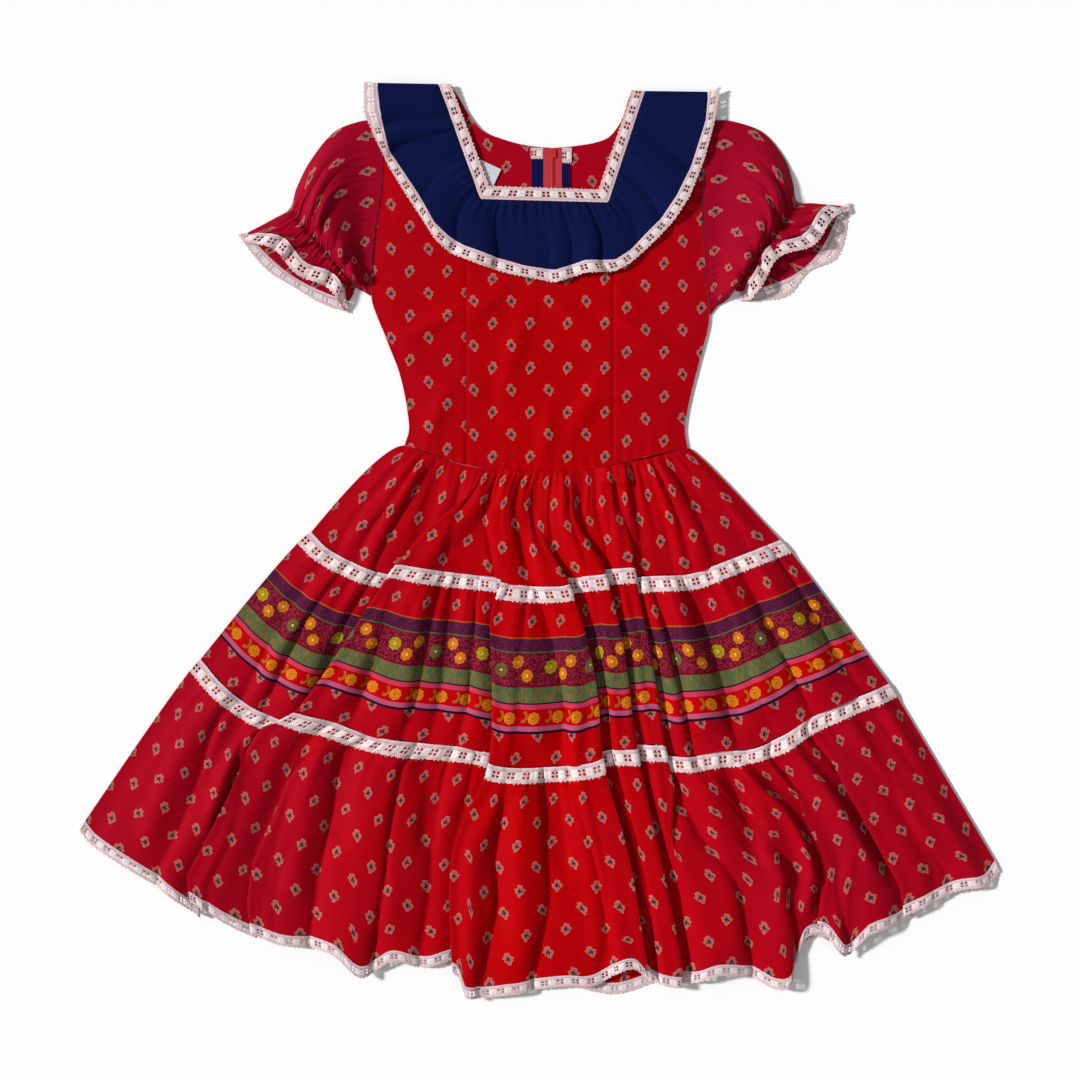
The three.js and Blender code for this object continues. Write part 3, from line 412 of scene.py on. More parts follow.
def raised(place, z):
    """Points of the plan with their heights."""
    heights = np.broadcast_to(np.asarray(z, float), place.shape[:-1])
    return np.concatenate([place, heights[..., None]], -1)


def look_up(table, at):
    """A smooth curve through rows of x and value, read at one or many x."""
    rows = np.array(sorted(table), float)
    xs, values = rows[:, 0], rows[:, 1]
    last = len(xs) - 1
    before = np.maximum(np.arange(last + 1) - 1, 0)
    after = np.minimum(np.arange(last + 1) + 1, last)
    slopes = (values[after] - values[before]) / (xs[after] - xs[before])
    x = np.clip(np.asarray(at, float), xs[0], xs[last])
    i = np.clip(np.searchsorted(xs, x, side="left") - 1, 0, last - 1)
    width = xs[i + 1] - xs[i]
    p = (x - xs[i]) / width
    h00 = 2 * p**3 - 3 * p**2 + 1
    h10 = p**3 - 2 * p**2 + p
    h11 = p**3 - p**2
    return h00 * values[i] + h10 * width * slopes[i] + (1 - h00) * values[i + 1] + h11 * width * slopes[i + 1]


def along_line(points, share):
    """Points at shares of the length of a broken line."""
    line = np.array(points, float)
    lengths = np.concatenate([[0], np.cumsum(np.linalg.norm(np.diff(line, axis=0), axis=1))])
    at = clamp(np.asarray(share, float)) * lengths[-1]
    return np.stack([np.interp(at, lengths, line[:, k]) for k in (0, 1)], -1)


class Gathers:
    """Uneven gathers across a width from 0 to 1, each with its own width and height."""

    def __init__(self, count, phase):
        k = np.arange(count)
        widths = 1 + 0.3 * np.sin(2.4 * k + phase) + 0.2 * np.sin(5.1 * k)
        self.edges = np.concatenate([[0], np.cumsum(widths) / widths.sum()])
        self.heights = 0.75 + 0.25 * np.sin(3.7 * k + phase * 2)

    def find(self, t):
        """The gather that each place lies in, and how far across it."""
        k = np.clip(np.searchsorted(self.edges, t, side="left") - 1, 0, len(self.heights) - 1)
        return k, clamp((t - self.edges[k]) / (self.edges[k + 1] - self.edges[k]))

    def rise(self, t):
        """Even waves."""
        k, part = self.find(t)
        return self.heights[k] * np.sin(np.pi * part) ** 2

    def fold(self, t):
        """Rounded tops that lean to one side, with narrow valleys between them."""
        k, part = self.find(t)
        lean = 1.25 + 0.45 * np.sin(2.9 * k + 1)
        high = 0.62 + 0.38 * np.sin(4.3 * k + self.edges[3] * 40)
        return high * np.sin(np.pi * part**lean) ** 0.55


def collar_lift(y):
    """How far the back collar under it lifts the back at that height up the dress."""
    return COLLAR_LIFT * clamp((y - COLLAR_LIFT_FROM) / COLLAR_LIFT_REACH)


def back_top(y):
    """Height of the inside of the back."""
    return CLOTH + collar_lift(y)


def rise_from(distance):
    """How far the front stands up at that distance from its edge."""
    return FRONT_RISE * smooth(distance / RISE_REACH)


def seam_at(table, t):
    """Points of a seam at shares of the dress's width."""
    x = mix(table[0][0], table[-1][0], t)
    return np.stack([x, look_up(table, x)], -1)


def tier_plan(tier, t, part, hem=HEM):
    """Places of shares across and down a tier."""
    top = seam_at(SEAMS[tier], t) - [0, TIER_GAP / 2]
    if tier < 2:
        bottom = seam_at(SEAMS[tier + 1], t) + [0, TIER_GAP / 2]
    else:
        end = seam_at(hem, t)
        start = seam_at(SEAMS[2], t)
        size = np.linalg.norm(end - start, axis=-1, keepdims=True)
        bottom = end + (start - end) * HEM_LACE_WIDTH / size
    left, right = TIER_BOW[tier]
    swell = 4 * np.sqrt(part) * (1 - np.sqrt(part))
    bow = swell * (right * t**8 - left * (1 - t) ** 8)
    place = top + (bottom - top) * part[..., None]
    place[..., 0] += bow
    return place


def tier_parts(tier):
    """Shares of a tier's depth at which its rows lie, close together under the lace."""
    depth = TIER_DEPTH[tier]
    rest = np.linspace(CLOSE_DEPTH + 0.5, depth, int((depth - CLOSE_DEPTH) / ROW_PITCH))
    return np.concatenate([CLOSE_ROWS, rest]) / depth


def lap_profile():
    """The lap's profile with its columns spread evenly along the cloth."""
    rows = np.array(LAP_PROFILE, float)
    tuck_size, end_size, height_size = PROFILE_SIZES
    wide = rows[:, 0] * tuck_size + rows[:, 1] * end_size
    steps = np.hypot(np.diff(wide), np.diff(rows[:, 2]) * height_size)
    along = np.concatenate([[0], np.cumsum(steps)])
    fine = np.linspace(0, along[-1], LAP_COLUMNS)
    smoothed = [look_up(list(zip(along, rows[:, k])), fine) for k in range(3)]
    return np.stack(smoothed, -1)


def lap_amounts(lap, y):
    """How far a lap has opened at each height y."""
    top = lap["route"][0][1]
    end = lap["route"][-1][1]
    return smooth((top - y) / OPENING) * smooth((y - end + CLOSING) / CLOSING)


def tier_width(tier, parts):
    """Width of a front tier in each row."""
    left, right = (tier_plan(tier, np.full(len(parts), end), parts)[:, 0] for end in (0.0, 1.0))
    return right - left


def lap_places(lap, tier, parts, width):
    """Share of the width at which a lap lies in each row, and how far it has opened there."""
    table = [(y, x) for x, y in lap["route"]]
    t = np.full(len(parts), 0.5)
    for _ in range(LAP_ROUNDS):
        place = tier_plan(tier, t, parts)
        t = np.clip(t + (look_up(table, place[:, 1]) - place[:, 0]) / width, *LAP_LIMITS)
    return t, lap_amounts(lap, tier_plan(tier, t, parts)[:, 1])


def lap_columns(lap, centre, amount, width, start, profile):
    """Ends of a lap's stretch in each row, with the shares and heights of its columns."""
    near = lap["tuck"] / 2 + LAP_MARGIN
    before, after = (near, lap["soft"]) if lap["over"] > 0 else (lap["soft"], near)
    left = np.maximum(centre - before / width, start + LEAST_SHARE)
    centre = np.maximum(centre, left + LEAST_SHARE)
    right = np.maximum(centre + after / width, centre + LEAST_SHARE)
    shape = profile if lap["over"] > 0 else profile[::-1] * [-1, -1, 1]
    across = np.where(shape[:, 1] < 0, -1, 1)[None, :]
    ends = np.where(across < 0, (centre - left)[:, None], (right - centre)[:, None]) * np.abs(shape[:, 1])
    tucked = shape[None, :, 0] * (lap["tuck"] / 2) / width[:, None]
    lapped = centre[:, None] + tucked + across * ends
    even = mix(left[:, None], right[:, None], np.linspace(0, 1, len(shape))[None, :])
    shares = mix(even, lapped, amount[:, None])
    heights = lap["high"] * amount[:, None] * shape[None, :, 2]
    return left, right, shares[:, :-1], heights[:, :-1]


def flat_columns(begin, end, width):
    """Shares of the even columns between two laps."""
    count = max(2, int(np.median((end - begin) * width) / COLUMN_WIDTH))
    return mix(begin[:, None], end[:, None], np.arange(count)[None, :] / count)


def front_columns(tier, parts):
    """For each row and column: share of the width, laps' height, step of the seams and laps' nearness."""
    width = tier_width(tier, parts)
    laps = [lap for lap in LAPS if tier in lap["tiers"]]
    found = [(lap, *lap_places(lap, tier, parts, width)) for lap in laps]
    found.sort(key=lambda row: row[1].mean())
    profile = lap_profile()
    rising = int(np.argmax(profile[:, 2] > 0.5))
    start, end = np.zeros(len(parts)), np.ones(len(parts))
    shares, heights, middles = [], [], []
    for lap, centre, amount in found:
        left, right, lap_shares, lap_heights = lap_columns(lap, centre, amount, width, start, profile)
        flat = flat_columns(start, left, width)
        shares += [flat, lap_shares]
        heights += [np.zeros_like(flat), lap_heights]
        turn = rising if lap["over"] > 0 else LAP_COLUMNS - 1 - rising
        middles.append(sum(part.shape[1] for part in shares[:-1]) + turn)
        start = right
    flat = flat_columns(start, end, width)
    share = np.concatenate([*shares, flat, end[:, None]], 1)
    height = np.concatenate([*heights, np.zeros_like(flat), np.zeros_like(end)[:, None]], 1)
    near = np.zeros_like(share)
    step = np.zeros_like(share)
    index = np.arange(share.shape[1])
    for (lap, centre, amount), middle in zip(found, middles):
        distance = (share - centre[:, None]) * width[:, None]
        near = np.maximum(near, amount[:, None] * np.exp(-((distance / LAP_CALM) ** 2)))
        side = np.tanh((index - middle) / LAYER_TURN)[None, :]
        step += lap["step"] / 2 * amount[:, None] * side * np.exp(-np.abs(distance) / STEP_REACH)
    return share, height, step, near, width


def crease_height(x, y):
    """Height of the skirt's listed creases, with the tuck at the waist."""
    total = np.zeros_like(x)
    for route, high, half_width in SKIRT_CREASES:
        table = [(ry, rx) for rx, ry in route]
        top, end = route[0][1], route[-1][1]
        across = (x - look_up(table, y)) / half_width
        shape = np.exp(-(across**2)) * smooth((top - y) / CREASE_BEGIN) * smooth((y - end) / CREASE_END)
        total += CREASE_RELIEF * high * shape
    tuck = WAIST_TUCK
    inside = smooth((tuck["half_width"] - np.abs(x - tuck["x"])) / tuck["side"])
    below = smooth((y - tuck["bottom"]) / tuck["edge"]) * smooth((tuck["top"] - y) / tuck["fade"])
    return total + tuck["high"] * inside * below


def cloth_share(places, heights):
    """Share of the cloth's own width at every column, with what the laps hide."""
    flat = np.concatenate([places, heights[..., None]], -1)
    steps = np.linalg.norm(np.diff(flat, axis=1), axis=-1)
    along = np.concatenate([np.zeros((len(places), 1)), np.cumsum(steps, 1)], 1)
    return along / along[:, -1:]


def eased_down(values, reach):
    """Values evened out over that many rows, so that the print changes slowly down the cloth."""
    padded = np.pad(values, ((reach // 2, reach // 2), (0, 0)), mode="edge")
    sums = np.cumsum(np.concatenate([np.zeros((1, values.shape[1])), padded]), 0)
    return (sums[reach:] - sums[:-reach]) / reach


# Where the front hem turns up beside the main lap, so that the back hem shows under it
HEM_CURL = {"from": 42, "reach": 64, "to": 134, "fall": 26, "high": 24, "start": 0.7, "turn": 0.3}
TIER_PLEATS = [Gathers(22, 0.5), Gathers(28, 1.5), Gathers(26, 2.5)]
TIER_SWAYS = [Gathers(6, 1.3), Gathers(8, 2.1), Gathers(11, 0.4)]
FINE_GATHERS = [Gathers(43, 1.1), Gathers(61, 0.3), Gathers(67, 2.2)]
FINEST_GATHERS = [Gathers(76, 0.7), Gathers(104, 1.9), Gathers(120, 0.2)]
DEEP_FOLDS = [Gathers(21, 0.8), Gathers(23, 2.0), Gathers(21, 1.2)]
DEEP_LIFT = [7.5, 13, 15]  # height of the deep folds of each tier
DEEP_TOP = [0.25, 0.45, 0.5]  # share of it at the tier's upper seam
DEEP_TURN = 0.3  # share of the tier's depth in which it grows to the whole
DEEP_END = (0.75, 0.25, 0.5)  # where it falls at the seam below, in what reach, by what share
RELIEF_LIMIT = 22  # height that no fold of a front tier passes
# Gathers that start under a seam: height, distance in which they fade, distance in which they start
FINE = (2.2, 55, 6)
FINEST = (1.2, 22, 4)
BACK_FINE = (0.8, 60, 8)
# Pleats that are full under the seam and lower further down
PLEAT_LEAST = 0.5
PLEAT_FULL = 2.6
PLEAT_SHARE = 0.45
PLEAT_START = 0.05
PLEAT_TURN = 0.14
PLEAT_FALL = (0.3, 0.6, 0.78)  # where they fall, in what reach, by what share
SWAY_LIFT = 2.5  # wide waves of the lower part of a tier
SWAY_FROM = 0.25
LAP_HUSH = 0.85  # share of the gathers that a lap presses flat
RIPPLE = 4  # how far the deep folds draw the cloth up and down
RIPPLE_LEVEL = 0.45
SEAM_SLOPE = 8  # distance in which the cloth comes down beside the lace
LAST_PART = 0.8  # share of the depth from which a tier nears the seam below
CLOTH_EASE = 31  # rows over which the print's place is evened out, first under the laps
WOVEN_EASE = 23  # and then under all folds
BACK_TIER_PITCH = 6


def seam_gathers(gathers, kind, at, down):
    """Gathers that start under a seam and fade down the cloth."""
    lift, fade, begin = kind
    return gathers.rise(at) * lift * np.exp(-down / fade) * smooth(down / begin)


def tier_relief(tier, cloth, part, down, gather_lift):
    """Height of a front tier's gathers and folds, and the pattern of its deep folds."""
    start = PLEAT_START if tier == 0 else LACE_WIDTH / TIER_DEPTH[tier]
    fall_from, fall_reach, fall_share = PLEAT_FALL
    fall = 1 - fall_share * smooth((part - fall_from) / fall_reach)
    full = smooth((part - start * 0.6) / PLEAT_TURN) * fall
    slant = cloth + 0.006 * np.sin(9 * cloth + tier) * part
    pleats = TIER_PLEATS[tier].rise(slant) * (PLEAT_LEAST + PLEAT_FULL * full)
    fine = seam_gathers(FINE_GATHERS[tier], FINE, slant, down)
    finest = seam_gathers(FINEST_GATHERS[tier], FINEST, slant, down)
    at_hem = tier == 2
    meets = 1 if at_hem else 1 - smooth((part - LAST_PART) / 0.2)
    sway = TIER_SWAYS[tier].rise(cloth) * SWAY_LIFT * smooth((part - SWAY_FROM) / 0.75) * meets
    drift = clamp(cloth + 0.012 * np.sin(5 * cloth + 3 * part + tier) * part)
    deep = DEEP_FOLDS[tier].fold(drift)
    end_from, end_reach, end_share = DEEP_END
    held = 1 if at_hem else 1 - end_share * smooth((part - end_from) / end_reach)
    lasting = mix(DEEP_TOP[tier], 1, smooth(part / DEEP_TURN)) * held
    soft = pleats * PLEAT_SHARE + sway + (fine + finest) * gather_lift
    return soft + DEEP_LIFT[tier] * deep * lasting, deep


def seam_lift(tier, part, down):
    """How far a tier stands off under its own lace and over the seam below."""
    under_lace = LACE_LIFT * (1 - smooth((down - LACE_WIDTH) / SEAM_SLOPE)) if tier else 0
    over_seam = LACE_LIFT * smooth((part - LAST_PART) / 0.2) if tier < 2 else 0
    return under_lace + over_seam


def hem_curl(x, part):
    """How far the front hem is turned up."""
    begins = smooth((x - HEM_CURL["from"]) / HEM_CURL["reach"])
    ends = smooth((HEM_CURL["to"] - x) / HEM_CURL["fall"])
    return HEM_CURL["high"] * begins * ends * smooth((part - HEM_CURL["start"]) / HEM_CURL["turn"])


def tier_front(tier, gather_lift):
    """Top side of a front tier, with its cloth coordinates."""
    parts = tier_parts(tier)
    share, lap, step, near, width = front_columns(tier, parts)
    part = np.repeat(parts[:, None], share.shape[1], 1)
    place = tier_plan(tier, clamp(share), part)
    cloth = eased_down(cloth_share(place, lap), CLOTH_EASE)
    down = part * TIER_DEPTH[tier]
    inward = np.minimum(clamp(share), 1 - clamp(share)) * width[-1]
    inside = smooth(inward / RISE_REACH)
    soft, deep = tier_relief(tier, cloth, part, down, gather_lift)
    creases = crease_height(place[..., 0], place[..., 1]) * (1 - near)
    relief = np.maximum(soft * (1 - LAP_HUSH * near) + lap + creases, 0)
    z = 2 * CLOTH + SEAM_GAP + seam_lift(tier, part, down) + rise_from(inward)
    z = z + inside * RELIEF_LIMIT * np.tanh(relief / RELIEF_LIMIT)
    ripple = inside * (deep - RIPPLE_LEVEL) * RIPPLE * smooth(part * 2)
    place[..., 1] += step * inside - ripple * (1 - part * 0.3)
    if tier == 2:
        place[..., 1] += hem_curl(place[..., 0], part)
    woven = eased_down(cloth_share(place, z), WOVEN_EASE)
    flat = np.stack([woven * TIER_CUT[tier], -down], -1)
    return raised(place, z), flat, down[:, 0]


def tier_back(tier):
    """Top side of a back tier, nearly flat with soft gathers."""
    parts = tier_parts(tier)[::2]
    t = np.linspace(0, 1, int(BACK_CUT[tier] / BACK_TIER_PITCH))
    share = np.repeat(t[None, :], len(parts), 0)
    part = np.repeat(parts[:, None], len(t), 1)
    down = part * TIER_DEPTH[tier]
    soft = seam_gathers(FINE_GATHERS[tier], BACK_FINE, share, down)
    soft = soft * smooth(np.minimum(share, 1 - share) * 12)
    z = CLOTH + seam_lift(tier, part, down) + soft
    flat = np.stack([share * BACK_CUT[tier], -down], -1)
    return raised(tier_plan(tier, share, part, HEM_BACK), z), flat, down[:, 0]


def waist_y(x):
    """Where the bodice ends above the waist seam."""
    return look_up(WAIST, x) + SEAM_GAP / 2


def princess_x(y):
    """Distance of the princess seams from the middle, less towards the neck."""
    return PRINCESS_X - PRINCESS_DRAW * smooth((y - PRINCESS_FROM) / PRINCESS_REACH)


def princess_line(sign, v):
    """Points of a princess seam, from the neck's corner down to the waist."""
    corner = NECK_INNER[1] if sign < 0 else NECK_INNER[2]
    y = mix(corner[1], waist_y(sign * PRINCESS_X), v)
    return np.stack([sign * princess_x(y), y], -1)


# Soft creases on the bodice front: middle, direction, length, half width and height
BODICE_CREASES = [
    ((-118, 250), (0.9, 0.45), 60, 9, 1.1), ((-100, 210), (0.95, 0.3), 55, 8, -0.9),
    ((30, 262), (0.8, -0.6), 60, 11, 0.9), ((-28, 220), (0.3, 0.95), 80, 12, 0.8),
    ((112, 240), (0.85, -0.5), 60, 9, 1.2), ((130, 200), (0.95, -0.3), 50, 8, -1.0),
    ((52, 150), (0.5, 0.86), 60, 12, 0.9), ((-60, 140), (0.2, 0.98), 60, 11, -0.8),
    ((8, 120), (0.15, 0.99), 45, 9, 0.9), ((-120, 140), (0.4, 0.9), 50, 10, 0.9),
    ((-62, 268), (0.75, 0.66), 50, 10, 0.8), ((88, 290), (0.7, -0.7), 45, 9, 0.9),
    ((96, 168), (0.97, 0.2), 50, 9, 0.7), ((-96, 174), (0.98, -0.2), 55, 9, 0.8),
]
BODICE_RELIEF = 3.4
BODICE_LOWEST = -0.2
BODICE_SIDE = 40  # distance from the side seam in which the creases come up
PANEL_INSIDE = 60  # distance from the side that the middle panel always has, and more
BODICE_WAVE = {"high": 0.9, "across": 23, "down": 61, "from": 84, "reach": 30}
UNDER_COLLAR = (312, 50)  # height at which the collar hides the creases, and reach in which they end
WAIST_GATHERS = Gathers(26, 0.6)
WAIST_SPAN = (-160, 330)
WAIST_LIFT = 1.6
WAIST_FADE = 14
BODICE_ROWS = 96
NECK_BENDS = {-1: [0.41, 0.455, 0.54], 1: [0.44, 0.52]}  # columns where the back's neckline bends
SEAM_SINK = 0.7
SEAM_HALF_WIDTH = 1.6


def bodice_crease(x, y):
    """Height of the bodice's creases, with small gathers along the waist."""
    hidden_from, reach = UNDER_COLLAR
    seen = smooth((hidden_from - y) / reach)
    wave = BODICE_WAVE
    slow = 0.5 + 0.5 * np.sin(x / wave["across"] + y / wave["down"])
    total = slow * wave["high"] * smooth((y - wave["from"]) / wave["reach"])
    for (cx, cy), (dx, dy), length, half_width, high in BODICE_CREASES:
        along = ((x - cx) * dx + (y - cy) * dy) / length
        across = ((x - cx) * dy - (y - cy) * dx) / half_width
        total += high * BODICE_RELIEF * np.exp(-(along**2) * 2 - across**2)
    left, width = WAIST_SPAN
    gathers = WAIST_GATHERS.rise((x - left) / width) * WAIST_LIFT * np.exp(-(y - waist_y(x)) / WAIST_FADE)
    return seen * np.maximum(total, BODICE_LOWEST) + gathers


def bodice_top(x, y, inward, seam_distance):
    """Height of the top side of the front bodice, sunk a little at its seams."""
    crease = smooth(inward / BODICE_SIDE) * bodice_crease(x, y)
    sunk = SEAM_SINK * np.exp(-((seam_distance / SEAM_HALF_WIDTH) ** 2))
    return back_top(y) + SEAM_GAP + rise_from(inward) + crease + CLOTH - sunk


def centre_front():
    """Top side of the bodice's middle panel."""
    v = np.linspace(0, 1, BODICE_ROWS)[:, None]
    t = np.linspace(0, 1, 54)[None, :]
    left = princess_line(-1, v[:, 0])[:, None, :]
    right = princess_line(1, v[:, 0])[:, None, :]
    place = left + (right - left) * t[..., None]
    x = place[..., 0]
    level_waist = mix(waist_y(-PRINCESS_X), waist_y(PRINCESS_X), t)
    y = place[..., 1] + (waist_y(x) - level_waist) * v
    x = x + SEAM_GAP / 2 * (1 - 2 * t)
    edge = np.minimum(t, 1 - t) * (right - left)[..., 0]
    return np.stack([x, y, bodice_top(x, y, PANEL_INSIDE, edge)], -1)


def side_front(sign):
    """Top side of a side panel with its shoulder strap, -1 for the left one."""
    edge = LEFT_EDGE if sign < 0 else RIGHT_EDGE
    neck_top = np.array(NECK_INNER[0] if sign < 0 else NECK_INNER[3], float)
    neck_corner = np.array(NECK_INNER[1] if sign < 0 else NECK_INNER[2], float)
    w = np.linspace(0, 1, 30)[:-1]
    v = np.linspace(0, 1, BODICE_ROWS)
    strap = neck_top + (neck_corner - neck_top) * w[:, None]
    inner = np.concatenate([strap, princess_line(sign, v)])
    outer_y = np.concatenate([
        mix(edge[0][0], neck_corner[1], w),
        mix(neck_corner[1], edge[-1][0] + SEAM_GAP / 2, v),
    ])
    outer = np.stack([look_up(edge, outer_y), outer_y], -1)
    seam_side = inner + [sign * SEAM_GAP / 2, 0]
    t = np.linspace(0, 1, 34)[None, :, None]
    place = outer[:, None, :] + (seam_side - outer)[:, None, :] * t
    x, y = place[..., 0], place[..., 1]
    inward = np.abs(x - outer[:, None, 0])
    to_seam = np.abs(x - seam_side[:, None, 0])
    return np.stack([x, y, bodice_top(x, y, inward, to_seam)], -1)


def bodice_back(sign):
    """Top side of a back panel, from the side seam to the zip."""
    edge = LEFT_EDGE if sign < 0 else RIGHT_EDGE
    zip_edge = ZIP_CENTRE + sign * ZIP_OPENING
    t = np.array(sorted([*np.linspace(0, 1, 41), *NECK_BENDS[sign]]))[None, :]
    v = np.linspace(0, 1, 60)[:, None]
    top = look_up(BACK_NECK, mix(edge[0][1], zip_edge, t))
    bottom = waist_y(mix(edge[-1][1], zip_edge, t))
    y = mix(top, bottom, v)
    x = mix(look_up(edge, y), zip_edge, t)
    return np.stack([x, y, back_top(y)], -1)


COLLAR_PLEATS = Gathers(13, 2.2)
COLLAR_FINE = Gathers(46, 1.4)
COLLAR_WAVE = (1.2, 7.5)  # height of the waves at the neck and at the outer edge
COLLAR_FINE_LIFT = 2.6
COLLAR_SHARES = np.linspace(0, 1, 330)


def by_corners(line, share):
    """Points round the square neck, a third of the way for each of its three sides."""
    return np.stack([np.interp(share * 3, np.arange(4), [p[k] for p in line]) for k in (0, 1)], -1)


def outward(start, end, distance):
    """Points that far from the start on the way to the end."""
    run = end - start
    return start + run * distance / np.linalg.norm(run, axis=-1, keepdims=True)


def between(inner, outer, apart, shares):
    """Rows of points between two lines, starting that far off the first."""
    start = outward(inner, outer, apart)
    return start[None] + (outer - start)[None] * shares[:, None, None]


def collar_wave(t, share):
    """Height of the collar's waves and fine gathers at shares round and out."""
    open_end = smooth(np.minimum(t, 1 - t) / 0.06)
    drift = clamp(t + 0.03 * np.sin(7 * t + 2 * share) * share)
    wave = COLLAR_PLEATS.fold(drift) * mix(*COLLAR_WAVE, share) * mix(0.3, 1, open_end)
    fine = COLLAR_FINE.rise(drift) * COLLAR_FINE_LIFT * np.exp(-share / 0.3) * smooth(share * 12)
    return COLLAR_UNDER + 0.6 * share + wave + fine + CLOTH


def front_collar():
    """Top side of the front collar."""
    shares = np.linspace(0, 1, 26)
    inner = by_corners(NECK_OUTER, COLLAR_SHARES)
    outer = along_line(COLLAR_EDGE, COLLAR_SHARES)
    place = between(inner, outer, 2 * SEAM_GAP, shares)
    return raised(place, collar_wave(COLLAR_SHARES[None, :], shares[:, None]))


def front_collar_lace():
    """Top side of the lace that goes on from the front collar, at the height of its edge."""
    edge = along_line(COLLAR_EDGE, COLLAR_SHARES)
    outer = along_line(COLLAR_LACE_EDGE, COLLAR_SHARES)
    place = between(edge, outer, 2 * SEAM_GAP, np.linspace(0, 1, 6))
    return raised(place, collar_wave(COLLAR_SHARES[None, :], np.ones((6, 1))))


def neck_lace():
    """Lace round the front of the square neck, from its outer side in."""
    shares = np.linspace(0, 1, 150)
    inner, outer = by_corners(NECK_INNER, shares), by_corners(NECK_OUTER, shares)
    place = between(inner, outer, 0, np.linspace(0, 1, 4))
    return raised(place, COLLAR_UNDER + NECK_LACE_WALL)[::-1]


def flat_strip(inner, outer, apart, z, rows=5, columns=90):
    """A strip between two lines, at one height."""
    t = np.linspace(0, 1, columns)
    return raised(between(along_line(inner, t), along_line(outer, t), apart, np.linspace(0, 1, rows)), z)


SLEEVE_PLEATS = Gathers(6, 0.9)
SHOULDER_GATHERS = Gathers(22, 0.4)
ELASTIC_GATHERS = Gathers(24, 1.7)
FRONT_COLUMNS = 150
BACK_COLUMNS = 46
MOUTH_WAVE = 0.22  # how unevenly the flounce's front edge stands back from its back edge
MOUTH_TURNS = 3.4
SLEEVE_SIDE = 3.4  # height of the front at the sleeve's two sides
SLEEVE_LOW = 1.7  # height to which it falls at its very edge
SLEEVE_UNDER = 0.1
SLEEVE_ROLL = 1.6  # how far the back rises to meet that edge
# Along the sleeve, from 0 at the armhole to 1 at the flounce's edge: where something starts and
# the length in which it does
SHOULDER = {"lift": 1.6, "start": (0.02, 0.06), "end": (0.07, 0.2)}
LONG_FOLDS = {"lift": 5.5, "start": (0.08, 0.4), "end": (0.66, 0.09)}
ELASTIC = {"at": 0.76, "lift": 3.4, "sink": 2.2, "sink_reach": 0.016, "reach": (0.05, 0.09)}
FRILL = {"lift": 2.2, "start": (0.77, 0.02), "fade_from": 0.78, "fade": 0.07}
FLOUNCE_LIFT = 1.3
SLEEVE_STATIONS = np.concatenate([
    np.linspace(0, 0.7, 40), np.linspace(0.715, 0.81, 14), np.linspace(0.825, 1, 14),
])


def after(s, stretch):
    """0 before a stretch along the sleeve and 1 after it."""
    start, length = stretch
    return smooth((s - start) / length)


def sleeve_relief(q, s, wave):
    """Height of the gathers, long folds and flounce of a sleeve's front over its plain form."""
    shoulder = SHOULDER_GATHERS.rise(q) * SHOULDER["lift"] * after(s, SHOULDER["start"])
    shoulder = shoulder * (1 - after(s, SHOULDER["end"]))
    wander = clamp(q + 0.03 * np.sin(9 * s + 5 * q))
    least, more = ELASTIC["reach"]
    reach = least + more * SLEEVE_PLEATS.rise(q)
    drawn = np.exp(-((np.abs(s - ELASTIC["at"]) / reach) ** 1.5))
    elastic = ELASTIC_GATHERS.rise(wander) * ELASTIC["lift"] * drawn
    sweep = clamp(q + 0.09 * np.sin(4 * s + 0.6) * np.sin(np.pi * q))
    long_folds = SLEEVE_PLEATS.fold(sweep) * LONG_FOLDS["lift"] * after(s, LONG_FOLDS["start"])
    long_folds = long_folds * (1 - after(s, LONG_FOLDS["end"]))
    cinch = ELASTIC["sink"] * np.exp(-(((s - ELASTIC["at"]) / ELASTIC["sink_reach"]) ** 2))
    fading = np.exp(-np.maximum(s - FRILL["fade_from"], 0) / FRILL["fade"])
    frill = ELASTIC_GATHERS.rise(q) * FRILL["lift"] * fading * after(s, FRILL["start"])
    flounce = SLEEVE_PLEATS.fold(clamp(q + 0.05 * s)) * wave * FLOUNCE_LIFT + frill
    return flounce + shoulder + elastic + long_folds - cinch


